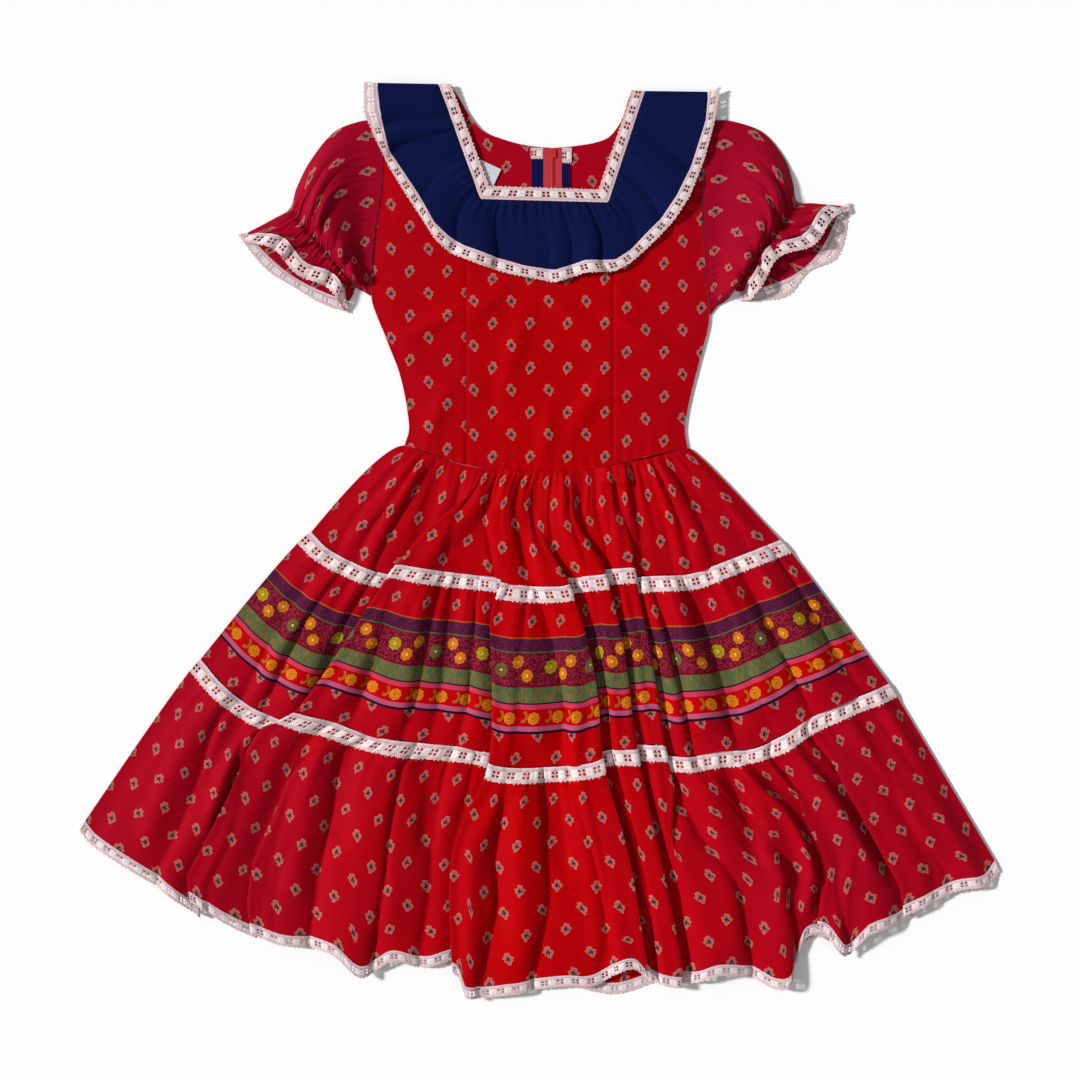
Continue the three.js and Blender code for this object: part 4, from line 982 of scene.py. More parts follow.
def sleeve_ring(side):
    """Outer side of a sleeve as rings, front then back, with the ring's shares."""
    sleeve = SLEEVES[side]
    sign = sleeve["sign"]
    # One column for each value of a section, with the two points as x and y
    table = np.array([(at, *top, *under, *rest) for at, top, under, *rest in sleeve["sections"]], float)
    top_x, top_y, under_x, under_y, high, wave, out, cut = (
        look_up(table[:, [0, k]].tolist(), SLEEVE_STATIONS)[:, None] for k in range(1, 9)
    )
    front = np.linspace(0, 1, FRONT_COLUMNS)
    back = np.linspace(1, 0, BACK_COLUMNS + 2)[1:-1]
    q = np.concatenate([front, back])[None, :]
    is_back = np.concatenate([np.zeros(FRONT_COLUMNS), np.ones(BACK_COLUMNS)])[None, :]
    s = SLEEVE_STATIONS[:, None]
    arch = np.sin(np.pi * q)
    arm_y = mix(*sleeve["armhole"], q)
    chord_x = mix(table[0, 1], table[0, 3], q)
    curve = (look_up(sleeve["edge"], arm_y) - chord_x) * (1 - smooth(s / 0.5))
    run_x, run_y = under_x - top_x, under_y - top_y
    size = np.hypot(run_x, run_y)
    away_x, away_y = sign * -run_y / size, sign * run_x / size
    open_part = smooth(np.minimum(q, 1 - q) / 0.08)
    mouth = 1 + MOUTH_WAVE * np.sin(MOUTH_TURNS * np.pi * q + sign)
    pull = cut * mouth * arch**0.7 * open_part * (1 - is_back)
    bow = out * arch - pull
    x = mix(top_x, under_x, q) + curve + sign * ARMHOLE_GAP + away_x * bow
    y = mix(top_y, under_y, q) + away_y * bow
    loft = SLEEVE_SIDE + (high - SLEEVE_SIDE) * arch**0.6
    front_z = loft + sleeve_relief(q, s, wave) * open_part
    front_z = SLEEVE_LOW + (front_z - SLEEVE_LOW) * clamp(arch**0.35 * 1.4)
    back_z = SLEEVE_UNDER + SLEEVE_ROLL * (1 - smooth(np.minimum(q, 1 - q) / 0.04))
    z = np.where(is_back > 0, back_z, front_z)
    return np.stack([x, y, z], -1), q[0], is_back[0]


def sleeve_lace(side, ring, q, is_back):
    """Outer side of the lace that goes on from a sleeve's last ring."""
    sleeve = SLEEVES[side]
    last = ring[-1]
    top = np.array(sleeve["lace_top"], float)
    run = np.array(sleeve["lace_under"], float) - top
    chord = top + run * q[:, None]
    away = np.array([sleeve["sign"] * -run[1], sleeve["sign"] * run[0]]) / np.linalg.norm(run)
    bow = sleeve["lace_out"] * np.sin(np.pi * q) + look_up(sleeve["lobes"], q)
    target = chord + away * bow[:, None]
    reach = np.linalg.norm(target - last[:, :2], axis=1)[:, None]
    on_back = np.maximum(is_back, (q <= 0) | (q >= 1))[:, None]
    share = np.where(on_back > 0, 1, np.minimum(1, LACE_WIDTH / reach))
    start = last[:, :2] + (target - last[:, :2]) * 2 * SEAM_GAP / reach
    parts = np.linspace(0, 1, 5)
    return np.stack([raised(start + (target - start) * share * part, last[:, 2]) for part in parts])


def hem_strip(grid, reach):
    """A strip that goes on from the last row of a tier."""
    last, before = grid[-1], grid[-2]
    run = (last - before)[:, :2]
    run = run / np.linalg.norm(run, axis=1, keepdims=True)
    for k in (0, 1):
        run[:, k] = np.convolve(np.pad(run[:, k], 4, mode="edge"), np.ones(9) / 9, "valid")
    distances = np.linspace(SEAM_GAP, reach, 5)
    return np.stack([raised(last[:, :2] + run * distance, last[:, 2]) for distance in distances])


# Meshes
SHARP_ANGLE = 62


def grid_normals(grid, ring):
    """The direction out of the cloth at every point of a grid."""
    if ring:
        wide = np.concatenate([grid[:, -1:], grid, grid[:, :1]], 1)
        across = (wide[:, 2:] - wide[:, :-2]) / 2
    else:
        across = np.gradient(grid, axis=1)
    down = np.gradient(grid, axis=0)
    normal = np.cross(down, across)
    size = np.linalg.norm(normal, axis=-1, keepdims=True)
    return normal / np.maximum(size, 1e-9)


def closed_wall(name, top, low, cells, flat, weld, material):
    """A closed wall between two sets of points that share their faces and cloth coordinates."""
    faces = weld[cells]
    count = int(weld.max()) + 1
    first = np.concatenate([cells[:, k] for k in range(4)])
    second = np.concatenate([cells[:, (k + 1) % 4] for k in range(4)])
    forward = weld[first].astype(np.int64) * count + weld[second]
    backward = weld[second].astype(np.int64) * count + weld[first]
    rim = ~np.isin(forward, backward)
    a, b = first[rim], second[rim]
    sides = np.stack([weld[b], weld[a], weld[a] + count, weld[b] + count], 1)
    side_flat = np.stack([b, a, a, b], 1)
    all_faces = np.concatenate([faces, faces[:, ::-1] + count, sides])
    all_flat = np.concatenate([cells, cells[:, ::-1], side_flat])
    places = np.zeros((2 * count, 3))
    places[weld] = top
    places[weld + count] = low
    used = np.zeros(2 * count, bool)
    used[all_faces.ravel()] = True
    number = np.cumsum(used) - 1
    mesh = bpy.data.meshes.new(name)
    mesh.from_pydata(((places[used] + SHIFT) * MM).tolist(), [], number[all_faces].tolist())
    layer = mesh.uv_layers.new(name="cloth")
    layer.data.foreach_set("uv", (flat[all_flat.ravel()] * MM).astype(np.float32).ravel())
    mesh.shade_smooth()
    mesh.set_sharp_from_angle(angle=math.radians(SHARP_ANGLE))
    mesh.materials.append(finish(material))
    made = bpy.data.objects.new(name, mesh)
    bpy.context.scene.collection.objects.link(made)
    return made


def lattice(rows, columns, ring=False):
    """Cells of a grid, with the vertex that each corner stands for."""
    wide = columns + 1 if ring else columns
    r, c = np.meshgrid(np.arange(rows - 1), np.arange(wide - 1), indexing="ij")
    corner = (r * wide + c).ravel()
    cells = np.stack([corner, corner + wide, corner + wide + 1, corner + 1], 1)
    index = np.arange(rows * wide)
    weld = (index // wide) * columns + (index % wide) % columns
    return cells, weld


def facing_up(grid, flat):
    """The grid with its columns turned round where its upper side would face down."""
    if np.mean(grid_normals(grid, False)[..., 2]) < 0:
        return grid[:, ::-1], flat[:, ::-1]
    return grid, flat


def own_flat(grid, ring=False):
    """Cloth coordinates worked out from the lengths along and down a grid."""
    middle = grid[len(grid) // 2]
    if ring:
        middle = np.concatenate([middle, middle[:1]])
    along = np.concatenate([[0], np.cumsum(np.linalg.norm(np.diff(middle, axis=0), axis=1))])
    steps = np.linalg.norm(np.diff(grid.mean(1), axis=0), axis=1)
    down = np.concatenate([[0], np.cumsum(steps)])
    return np.stack(np.meshgrid(along, -down), -1)


def cloth_piece(name, grid, flat, wall, material, ring=False):
    """A cloth wall under a grid of its outer points."""
    if not ring:
        grid, flat = facing_up(grid, flat)
    normal = grid_normals(grid, ring)
    low = grid - normal * wall
    cells, weld = lattice(*grid.shape[:2], ring)
    if ring:
        grid = np.concatenate([grid, grid[:, :1]], 1)
        low = np.concatenate([low, low[:, :1]], 1)
    top_points, low_points = grid.reshape(-1, 3), low.reshape(-1, 3)
    return closed_wall(name, top_points, low_points, cells, flat.reshape(-1, 2), weld, material)


def sample(grid, row, column):
    """Values of a grid between its points."""
    r = np.clip(row, 0, grid.shape[0] - 1.0001)
    c = np.clip(column, 0, grid.shape[1] - 1.0001)
    r0, c0 = r.astype(int), c.astype(int)
    fr, fc = (r - r0)[..., None], (c - c0)[..., None]
    upper = grid[r0, c0] * (1 - fc) + grid[r0, c0 + 1] * fc
    lower = grid[r0 + 1, c0] * (1 - fc) + grid[r0 + 1, c0 + 1] * fc
    return upper * (1 - fr) + lower * fr


def lace_piece(name, grid, down, wall, lift, ring=False):
    """Lace worked along a grid: down gives each row's place in the lace's own width."""
    if not ring:
        grid, _ = facing_up(grid, grid[..., :2])
    normals = grid_normals(grid, ring)
    if ring:
        grid = np.concatenate([grid, grid[:, :1]], 1)
        normals = np.concatenate([normals, normals[:, :1]], 1)
    middle = grid[len(grid) // 2]
    lengths = np.concatenate([[0], np.cumsum(np.linalg.norm(np.diff(middle, axis=0), axis=1))])
    repeats = max(1, round(lengths[-1] / LACE_REPEAT))
    starts = np.arange(repeats) * LACE_REPEAT
    along = np.concatenate([np.add.outer(starts, LACE_ALONG).ravel(), [repeats * LACE_REPEAT]])
    across = np.array(LACE_DOWN, float)
    w = np.repeat(across[:, None], len(along), 1)
    scallop = 1 - np.abs(np.sin(np.pi * along / SCALLOP_PITCH))
    w[-1] -= SCALLOP_DEPTH * scallop
    w[0] += EDGE_WAVE * scallop
    w[-2] -= EDGE_WAVE * scallop
    column = np.interp(along / along[-1] * lengths[-1], lengths, np.arange(len(lengths)))
    row = np.interp(w, down, np.arange(len(down)))
    columns = np.repeat(column[None, :], len(across), 0)
    place = sample(grid, row, columns)
    normal = sample(normals, row, columns)
    normal /= np.maximum(np.linalg.norm(normal, axis=-1, keepdims=True), 1e-9)
    phase = along % LACE_REPEAT
    in_pad_along = (phase > PAD_ALONG[0]) & (phase < PAD_ALONG[1])
    in_pad_down = (across > PAD_DOWN[0]) & (across < PAD_DOWN[1])
    cord = (across[:, None] == LACE_DOWN[1]) * CORD_RISE
    relief = (in_pad_along[None, :] & in_pad_down[:, None]) * PAD_RISE + cord
    top = place + normal * (lift + wall + relief)[..., None]
    low = place + normal * lift
    flat = np.stack([np.repeat(along[None, :], len(across), 0), -w], -1)
    rows, wide = w.shape
    cells, weld = lattice(rows, wide - 1 if ring else wide, ring)
    r, c = np.divmod(np.arange(len(cells)), wide - 1)
    keep = np.array([cell not in HOLE_CELLS for cell in zip(r, c % len(LACE_ALONG))])
    heading = place[2] + normal[2] * (lift + wall + STITCH_RISE)
    stitch_lines.append(heading[::3])
    top_points, low_points = top.reshape(-1, 3), low.reshape(-1, 3)
    return closed_wall(name, top_points, low_points, cells[keep], flat.reshape(-1, 2), weld, "lace")


def settle(made, node, flat_size):
    """Hangs a finished cloth piece on the dress's body and hides the node that it stands for."""
    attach(made, "dress")
    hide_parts(node)
    width, length = (side * MM for side in flat_size)


def panel(node, grid, flat, wall, material, size, ring=False):
    """A cloth piece in place of its node."""
    made = cloth_piece(f"{node}_cloth", grid, flat, wall, material, ring)
    settle(made, node, size)


def edging(node, grid, down, wall, lift, size, ring=False):
    """A lace piece in place of its node."""
    made = lace_piece(f"{node}_edging", grid, down, wall, LACE_LIFTS[lift], ring)
    settle(made, node, size)


def even_rows(strip):
    """Rows of a strip spread over the lace's whole width."""
    return np.linspace(0, LACE_WIDTH, len(strip))


# Finishes
class Signal:
    """An output socket; its sums, products and comparisons add Math nodes."""

    def __init__(self, net, socket):
        self.net = net
        self.socket = socket

    def maths(self, operation, *others):
        return self.net.node("ShaderNodeMath", {"operation": operation}, [self, *others])

    def swapped(self, operation, other):
        return self.net.node("ShaderNodeMath", {"operation": operation}, [other, self])

    def __add__(self, other):
        return self.maths("ADD", other)

    def __sub__(self, other):
        return self.maths("SUBTRACT", other)

    def __mul__(self, other):
        return self.maths("MULTIPLY", other)

    def __truediv__(self, other):
        return self.maths("DIVIDE", other)

    def __rsub__(self, other):
        return self.swapped("SUBTRACT", other)

    def __rtruediv__(self, other):
        return self.swapped("DIVIDE", other)

    def __mod__(self, other):
        return self.maths("FLOORED_MODULO", other)

    def __gt__(self, other):
        return self.maths("GREATER_THAN", other)

    def __lt__(self, other):
        return self.maths("LESS_THAN", other)

    def __abs__(self):
        return self.maths("ABSOLUTE")

    __radd__ = __add__
    __rmul__ = __mul__

    def power(self, exponent):
        return self.maths("POWER", exponent)

    def floor(self):
        return self.maths("FLOOR")

    def sine(self):
        return self.maths("SINE")

    def cosine(self):
        return self.maths("COSINE")

    def root(self):
        return self.maths("SQRT")

    def at_most(self, other):
        return self.maths("MINIMUM", other)

    def at_least(self, other):
        return self.maths("MAXIMUM", other)


class Finish:
    """The node tree of one material."""

    def __init__(self, name):
        self.material = bpy.data.materials.new(name)
        self.material.use_nodes = True
        self.tree = self.material.node_tree
        self.tree.nodes.clear()

    def node(self, kind, settings=None, inputs=(), output=0):
        """Adds a node: settings first, then the values or links of its sockets."""
        made = self.tree.nodes.new(kind)
        for key, value in (settings or {}).items():
            if key == "stops":
                ramp = made.color_ramp
                for place, shade in value[1:]:
                    ramp.elements.new(place).color = shade
                ramp.elements[0].position, ramp.elements[0].color = value[0]
                ramp.elements.remove(ramp.elements[len(value)])
            elif key == "interpolation" and kind == "ShaderNodeValToRGB":
                made.color_ramp.interpolation = value
            else:
                setattr(made, key, value)
        pairs = inputs.items() if isinstance(inputs, dict) else enumerate(inputs)
        for key, value in pairs:
            if isinstance(value, Signal):
                self.tree.links.new(value.socket, made.inputs[key])
            else:
                made.inputs[key].default_value = value
        return Signal(self, made.outputs[output]) if made.outputs else None

    def cloth(self):
        """The piece's own cloth coordinates, in millimetres along and down."""
        both = self.node("ShaderNodeUVMap", {"uv_map": "cloth"})
        along = self.node("ShaderNodeSeparateXYZ", None, [both])
        down = Signal(self, along.socket.node.outputs[1])
        return both, along * 1000, down * -1000

    def noise(self, vector, scale, detail=2.0, roughness=0.5):
        inputs = {"Vector": vector, "Scale": scale, "Detail": detail, "Roughness": roughness}
        return self.node("ShaderNodeTexNoise", None, inputs)

    def blend(self, share, under, over):
        return self.node("ShaderNodeMix", {"data_type": "RGBA"}, {0: share, 6: under, 7: over}, 2)

    def close(self, base, roughness, height=None, **constants):
        """Ends the tree in a surface; constants are set on the shader's own sockets."""
        inputs = {"Base Color": base, "Roughness": roughness}
        if height is not None:
            bump = {"Strength": constants.pop("bump", 0.6), "Distance": 0.0004, "Height": height}
            inputs["Normal"] = self.node("ShaderNodeBump", None, bump)
        inputs.update({key.replace("_", " "): value for key, value in constants.items()})
        surface = self.node("ShaderNodeBsdfPrincipled", None, inputs)
        self.node("ShaderNodeOutputMaterial", None, [surface])
        return self.material


RED_SHEEN = (1.0, 0.12, 0.16, 1.0)
NAVY_SHEEN = (0.2, 0.3, 1.0, 1.0)
SATIN_RED = {
    "Sheen_Weight": 0.03, "Sheen_Tint": RED_SHEEN, "Specular_IOR_Level": 0.1, "Specular_Tint": RED_SHEEN,
}
SATIN_NAVY = {
    "Sheen_Weight": 0.04, "Sheen_Tint": NAVY_SHEEN, "Specular_IOR_Level": 0.08, "Specular_Tint": NAVY_SHEEN,
}
# Small marks of the print and the trims' second tones, in sRGB of 0 to 255
TINTS = {
    "leaf_pale": (178, 112, 98), "leaf_olive": (122, 92, 82), "navy_worn": (13, 22, 66),
    "wide_dark": (40, 8, 48), "wide_pink": (196, 76, 92), "wide_red": (178, 22, 40),
    "flower_edge": (96, 26, 24), "flower_arcs": (146, 62, 14), "flower_eye": (232, 200, 104),
    "green_ochre": (146, 92, 44), "green_teal": (34, 92, 76), "purple_rose": (120, 34, 60),
    "purple_blue": (36, 28, 66), "curled_leaf": (150, 92, 28), "narrow_swirl": (150, 66, 14),
    "lace_pink": (226, 196, 204), "lace_ground": (168, 60, 74), "tape_pale": (190, 24, 38),
    "label_grey": (182, 184, 194), "enamel_dark": (150, 14, 20), "thread_grey": (150, 130, 138),
    "floor_grey": (238, 238, 240), "coil_pale": (198, 38, 46),
}
WEAVE_PITCH = 0.55


def shade(name):
    """A colour as the four values that a socket takes."""
    if name in TINTS:
        return (*linear(*TINTS[name]), 1.0)
    return (*getattr(bpy.context.scene.dress_colours, name), 1.0)


def weave(along, down):
    """Height of a plain weave."""
    warp = (along * (2 * math.pi / WEAVE_PITCH)).sine()
    weft = (down * (2 * math.pi / WEAVE_PITCH)).sine()
    return warp * weft * 0.5 + 0.5


def inside_of(value, ends):
    """1 between two ends, 0 beyond them."""
    low, high = ends
    return (value > low) * (value < high)


def radius_of(x, y):
    """Distance from the middle."""
    return (x * x + y * y).root()


def petals(net, du, dv, radius, depth):
    """1 inside a flower of eight petals, 0 outside."""
    angle = net.node("ShaderNodeMath", {"operation": "ARCTAN2"}, [dv, du])
    edge = (angle * 8).cosine() * depth + (1 - depth)
    return radius_of(du, dv) < edge * radius


def leaf_motif(net, along, down, wobble):
    """Masks of the small leaf and of its dark heart, on a staggered lattice."""
    sizes = bpy.context.scene.dress_sizes
    across, fall = sizes.motif_across / MM, sizes.motif_down / MM
    row = (down / fall).floor()
    odd = row % 2
    part = (along / across + odd * 0.5) % 1
    x = (part - 0.5) * across * (odd * 2 - 1) + (wobble - 0.5) * 2.5
    y = (down / fall - row - 0.5) * fall + (wobble - 0.5) * 1.5
    lean = x + y * 0.2
    size = ((lean / 5.9).power(2) + (y / 7.5).power(2)).root()
    angle = net.node("ShaderNodeMath", {"operation": "ARCTAN2"}, [y, lean])
    edge = (angle * 4).cosine() * 0.11 + (angle * 7 + 1).cosine() * 0.08 + 0.84
    leaf = size < edge
    ring = size < edge - 0.24
    heart = (abs(x + y * 0.3 + 0.4) / 1.9 + abs(y - 0.2) / 3.4) < 1
    tick = (abs(x - 1.9) / 1.2 + abs(y - 1.6) / 1.6) < 1
    heart = heart.at_least(tick)
    return leaf, ring, heart


# Painted shade: the middle of the dress is a warm red, and towards its sides a darker crimson is painted in
# to stand for the shade there
PAINTED_SHADE_FROM = 0.03
PAINTED_SHADE_GAIN = 2.0
PAINTED_SHADE_MOST = 0.62


def red_ground(net, along, down, cloth, painted_shade_share=None):
    """The red cotton with its leaves; painted_shade_share is the share of crimson painted in as shade, or
    that painted shade grows to the dress's sides.
    """
    wobble = net.noise(cloth, 420, 1.0)
    broad = net.noise(cloth, 9, 2.0)
    thread = net.noise(cloth, 1500, 1.0)
    if painted_shade_share is None:
        place = net.node("ShaderNodeTexCoord", None, (), 3)
        sideways = abs(net.node("ShaderNodeSeparateXYZ", None, [place]))
        painted_shade_share = ((sideways - PAINTED_SHADE_FROM) * PAINTED_SHADE_GAIN).at_least(0).at_most(PAINTED_SHADE_MOST)
    # painted shade: crimson mixed into the red by the share of painted shade
    ground = net.blend((broad - 0.5) * 0.5 + painted_shade_share, shade("red"), shade("painted_shade_crimson"))
    leaf, ring, heart = leaf_motif(net, along, down, wobble)
    salmon = net.blend(thread, shade("motif"), shade("leaf_pale"))
    broken = (net.noise(cloth, 620, 1.0) > 0.43) * 0.3 + 0.6
    base = net.blend(leaf * broken, ground, salmon)
    base = net.blend(ring * (thread * 0.5 + 0.5), base, shade("leaf_olive"))
    return net.blend(heart * 0.9, base, shade("motif_heart"))


def close_red(net, cloth, along, down, base):
    """Ends a red cotton with its weave and crumple."""
    rough = net.noise(cloth, 60) * 0.14 + 0.5
    height = weave(along, down) * 0.25 + net.noise(cloth, 55, 3.0) * 2.2
    return net.close(base, rough, height, bump=0.55, **SATIN_RED)


def red_cotton(name="red printed cotton", painted_shade_share=None):
    """Red cotton with its small leaves."""
    net = Finish(name)
    cloth, along, down = net.cloth()
    base = red_ground(net, along, down, cloth, painted_shade_share)
    return close_red(net, cloth, along, down, base)


# Border print: where each band begins, in millimetres down the tier, and its colour
BORDER_BANDS = [
    (0, "red"), (56, "border_orange"), (57.4, "border_purple"), (71.6, "border_green"),
    (73.4, "border_maroon"), (111.5, "border_green"), (129, "motif_heart"), (131, "border_pink"),
    (136, "red"), (155, "border_mauve"), (160.5, "motif_heart"), (164, "red"),
]
BORDER_REPEAT = 113
# Flowers of the wide band: place along the repeat, place down, radius and colour
BORDER_FLOWERS = [
    (9, 90, 8.0, "border_lime"), (27, 99, 7.5, "border_yellow"), (38, 84, 7.2, "border_yellow"),
    (63, 94, 8.2, "border_green"), (82, 84, 7.5, "border_yellow"), (95, 99, 7.2, "border_yellow"),
]
# Stretches of the bands that carry marks, in millimetres down the tier
IN_PURPLE = (57.6, 71.4)
IN_WIDE = (74.5, 110)
IN_GREEN = (112, 129)
IN_NARROW = (137, 154.5)
FLOWER_PITCH = 27
FLOWER_DOWN = 146.5
FLOWER_RADIUS = 7.0
LEAF_PLACE = (1.5, 144.5)
LEAF_RADIUS = 5.6
FLOWER_SQUEEZE = 1.05  # share of the cloth's own length that the gathers leave
# Drawn-out flecks: band, stretch and scale of the noise, then the tint, level and share of those
# above a level and of those below one
BORDER_FLECKS = [
    (IN_GREEN, (1.0, 0.12, 1.0), 900, ("green_ochre", 0.55, 0.6), ("green_teal", 0.42, 0.5)),
    (IN_PURPLE, (0.2, 1.0, 1.0), 1100, ("purple_rose", 0.54, 0.6), ("purple_blue", 0.43, 0.7)),
]


def wide_flowers(net, along, down, base):
    """The round flowers of the wide band over its ground."""
    for place, low, radius, name in BORDER_FLOWERS:
        du = ((along - place + BORDER_REPEAT / 2) % BORDER_REPEAT - BORDER_REPEAT / 2) * FLOWER_SQUEEZE
        dv = down - low
        base = net.blend(petals(net, du, dv, radius + 1.0, 0.04), base, shade("flower_edge"))
        base = net.blend(petals(net, du, dv, radius, 0.05), base, shade(name))
        size = radius_of(du, dv)
        arcs = ((size * 2.0 + du * 0.9).sine() > 0.35) * (size < radius * 0.86)
        base = net.blend(arcs * 0.7, base, shade("flower_arcs"))
        base = net.blend((size < 1.4) * 0.8, base, shade("flower_eye"))
    return base


def narrow_flowers(net, along, down, base):
    """The row of flowers and curled leaves of the lower band over its ground."""
    in_narrow = inside_of(down, IN_NARROW)
    x = (along % FLOWER_PITCH - FLOWER_PITCH / 2) * FLOWER_SQUEEZE
    y = down - FLOWER_DOWN
    curl_x = (along % FLOWER_PITCH - LEAF_PLACE[0]) * FLOWER_SQUEEZE
    curl_y = down - LEAF_PLACE[1]
    curl = (curl_x * curl_x * 1.8 + curl_y * curl_y).root()
    leaf = (abs(curl - LEAF_RADIUS) < 1.7) * in_narrow * (curl_x + curl_y > -4)
    base = net.blend(leaf * 0.9, base, shade("curled_leaf"))
    flower = petals(net, x, y, FLOWER_RADIUS, 0.05) * in_narrow
    base = net.blend(flower, base, shade("border_yellow"))
    middle = radius_of(x, y)
    swirl = ((middle * 1.9 + x * 0.8).sine() > 0.4) * (middle < 5.6) * in_narrow
    return net.blend(swirl * 0.7, base, shade("narrow_swirl"))


def border_cotton():
    """Red cotton with the border print of the middle tier."""
    net = Finish("border printed cotton")
    cloth, along, down = net.cloth()
    ground = red_ground(net, along, down, cloth)
    depth = TIER_DEPTH[1]
    stops = [(start / depth, shade(name)) for start, name in BORDER_BANDS]
    bands = {"interpolation": "CONSTANT", "stops": stops}
    base = net.node("ShaderNodeValToRGB", bands, [down / depth])
    fleck = net.noise(cloth, 700)
    strokes = net.noise(cloth, 260, 3.0, 0.6)
    in_wide = inside_of(down, IN_WIDE)
    base = net.blend((abs(strokes - 0.56) < 0.034) * in_wide * 0.9, base, shade("wide_dark"))
    base = net.blend((abs(strokes - 0.47) < 0.013) * in_wide * 0.65, base, shade("wide_pink"))
    base = net.blend((abs(fleck - 0.62) < 0.016) * in_wide * 0.5, base, shade("wide_red"))
    base = wide_flowers(net, along, down, base)
    for band, stretch, scale, above, below in BORDER_FLECKS:
        drawn = net.node("ShaderNodeVectorMath", {"operation": "MULTIPLY"}, [cloth, stretch])
        fleck = net.noise(drawn, scale, 1.0)
        in_band = inside_of(down, band)
        tint, level, share = above
        base = net.blend((fleck > level) * in_band * share, base, shade(tint))
        tint, level, share = below
        base = net.blend((fleck < level) * in_band * share, base, shade(tint))
    base = narrow_flowers(net, along, down, base)
    base = net.blend(inside_of(down, (BORDER_BANDS[1][0], BORDER_BANDS[-1][0])), ground, base)
    return close_red(net, cloth, along, down, base)


def navy_cotton():
    """Plain cotton of the collar."""
    net = Finish("navy cotton")
    cloth, along, down = net.cloth()
    base = net.blend(net.noise(cloth, 26), shade("navy"), shade("navy_worn"))
    height = weave(along, down) * 0.3 + net.noise(cloth, 70, 3.0) * 2.0
    rough = net.noise(cloth, 80) * 0.1 + 0.74
    return net.close(base, rough, height, bump=0.55, **SATIN_NAVY)


# The lace's finish, in millimetres of the lace
HEADING_DEPTH = 5
PAD_CLOTH = ((9.2, 17.6), (4.9, 13.6))
PAD_EYE = (13.4, 9.3)
NET_WAVES = (2.9, 3.1)
NET_FROM = 3.2
NET_LEVEL = 0.05
NET_SHARE = 0.75


def lace_cotton():
    """Cotton lace: its heading, pads and the net between them."""
    net = Finish("cotton lace")
    cloth, along, down = net.cloth()
    fine = net.noise(cloth, 900)
    line = (abs(down - 2.4) < 0.45) + (abs(down - 4.3) < 0.25)
    heading = (down < HEADING_DEPTH) * 0.7 + fine * 0.3
    base = net.blend(heading, shade("lace"), shade("lace_pink"))
    base = net.blend(line.at_most(1) * 0.6, base, shade("lace_line"))
    repeat = along % LACE_REPEAT
    in_pad = inside_of(repeat, PAD_CLOTH[0]) * inside_of(down, PAD_CLOTH[1])
    waves = (along * NET_WAVES[0]).sine() * (down * NET_WAVES[1]).sine()
    holes = (waves > NET_LEVEL) * (1 - in_pad) * (down > NET_FROM)
    base = net.blend(holes * NET_SHARE, base, shade("lace_ground"))
    eye = (abs(repeat - PAD_EYE[0]) < 0.5) * (abs(down - PAD_EYE[1]) < 1.6)
    base = net.blend(eye * 0.5, base, shade("lace_line"))
    threads = (along * 7.4).sine() * 0.5 + (down * 8.2).sine() * 0.5
    return net.close(base, fine * 0.1 + 0.82, threads * 0.4 + fine, bump=0.8, Sheen_Weight=0.15)


def zip_tape_cloth():
    """Ribbed tape of the zip."""
    net = Finish("zip tape")
    cloth, along, down = net.cloth()
    ribs = ((along + down) * 5.2).sine() * 0.5 + 0.5
    tone = net.noise(cloth, 200)
    base = net.blend(tone, shade("tape"), shade("tape_pale"))
    return net.close(base, tone * 0.1 + 0.66, ribs, bump=0.5, Sheen_Weight=0.2)


def label_cloth():
    """Woven label with nothing on it."""
    net = Finish("blank woven label")
    cloth, along, down = net.cloth()
    ribs = (down * 9).sine() * 0.5 + 0.5
    tone = net.noise(cloth, 240)
    base = net.blend(tone * 0.5, shade("label"), shade("label_grey"))
    return net.close(base, tone * 0.1 + 0.5, ribs, bump=0.4, Sheen_Weight=0.3)


def plain_finish(name, grain, share, under, over, rough, rough_change, **constants):
    """A finish of two tones mottled at that grain, on the piece's own place."""
    net = Finish(name)
    place = net.node("ShaderNodeTexCoord", None, (), 3)
    tone = net.noise(place, grain)
    base = net.blend(tone * share, shade(under), shade(over))
    return net.close(base, tone * rough_change + rough, tone, **constants)


def enamelled_metal():
    """Painted metal of the slider and the pull."""
    coat = {"bump": 0.1, "Coat_Weight": 0.4, "Coat_Roughness": 0.15}
    return plain_finish("red enamelled metal", 900, 0.4, "enamel", "enamel_dark", 0.28, 0.15, **coat)


def white_thread():
    """Thread of the stitches."""
    return plain_finish("white thread", 1200, 0.4, "lace", "thread_grey", 0.7, 0.1, bump=0.3)


def zip_coil():
    """Plastic of the zip's coil."""
    return plain_finish("zip coil", 1500, 0.4, "tape", "coil_pale", 0.35, 0.1, bump=0.2)


def pale_floor():
    """Surface under the dress."""
    return plain_finish("pale floor", 3, 0.15, "floor", "floor_grey", 0.9, 0.05, bump=0.02)


FINISHES = {
    "red": red_cotton,
    # painted shade: the sleeves are given nearly all crimson, standing in for their shade
    "sleeve": lambda: red_cotton("red printed cotton of the sleeves with painted shade", 0.95),
    # painted shade: the inside of the back is given a share of crimson for the shade it lies in
    "back": lambda: red_cotton("red printed cotton with painted shade seen from inside", 0.6),
    "border": border_cotton,
    "navy": navy_cotton,
    "lace": lace_cotton,
    "tape": zip_tape_cloth,
    "label": label_cloth,
    "enamel": enamelled_metal,
    "thread": white_thread,
    "coil": zip_coil,
    "floor": pale_floor,
}
finished = {}


def finish(name):
    """The material of that name, made once."""
    if name not in finished:
        finished[name] = FINISHES[name]()
    return finished[name]


# What repeats along a line
ROW_SIZES = {"Pitch": 0.003, "Length": 0.002, "Width": 0.0005, "Height": 0.0004}


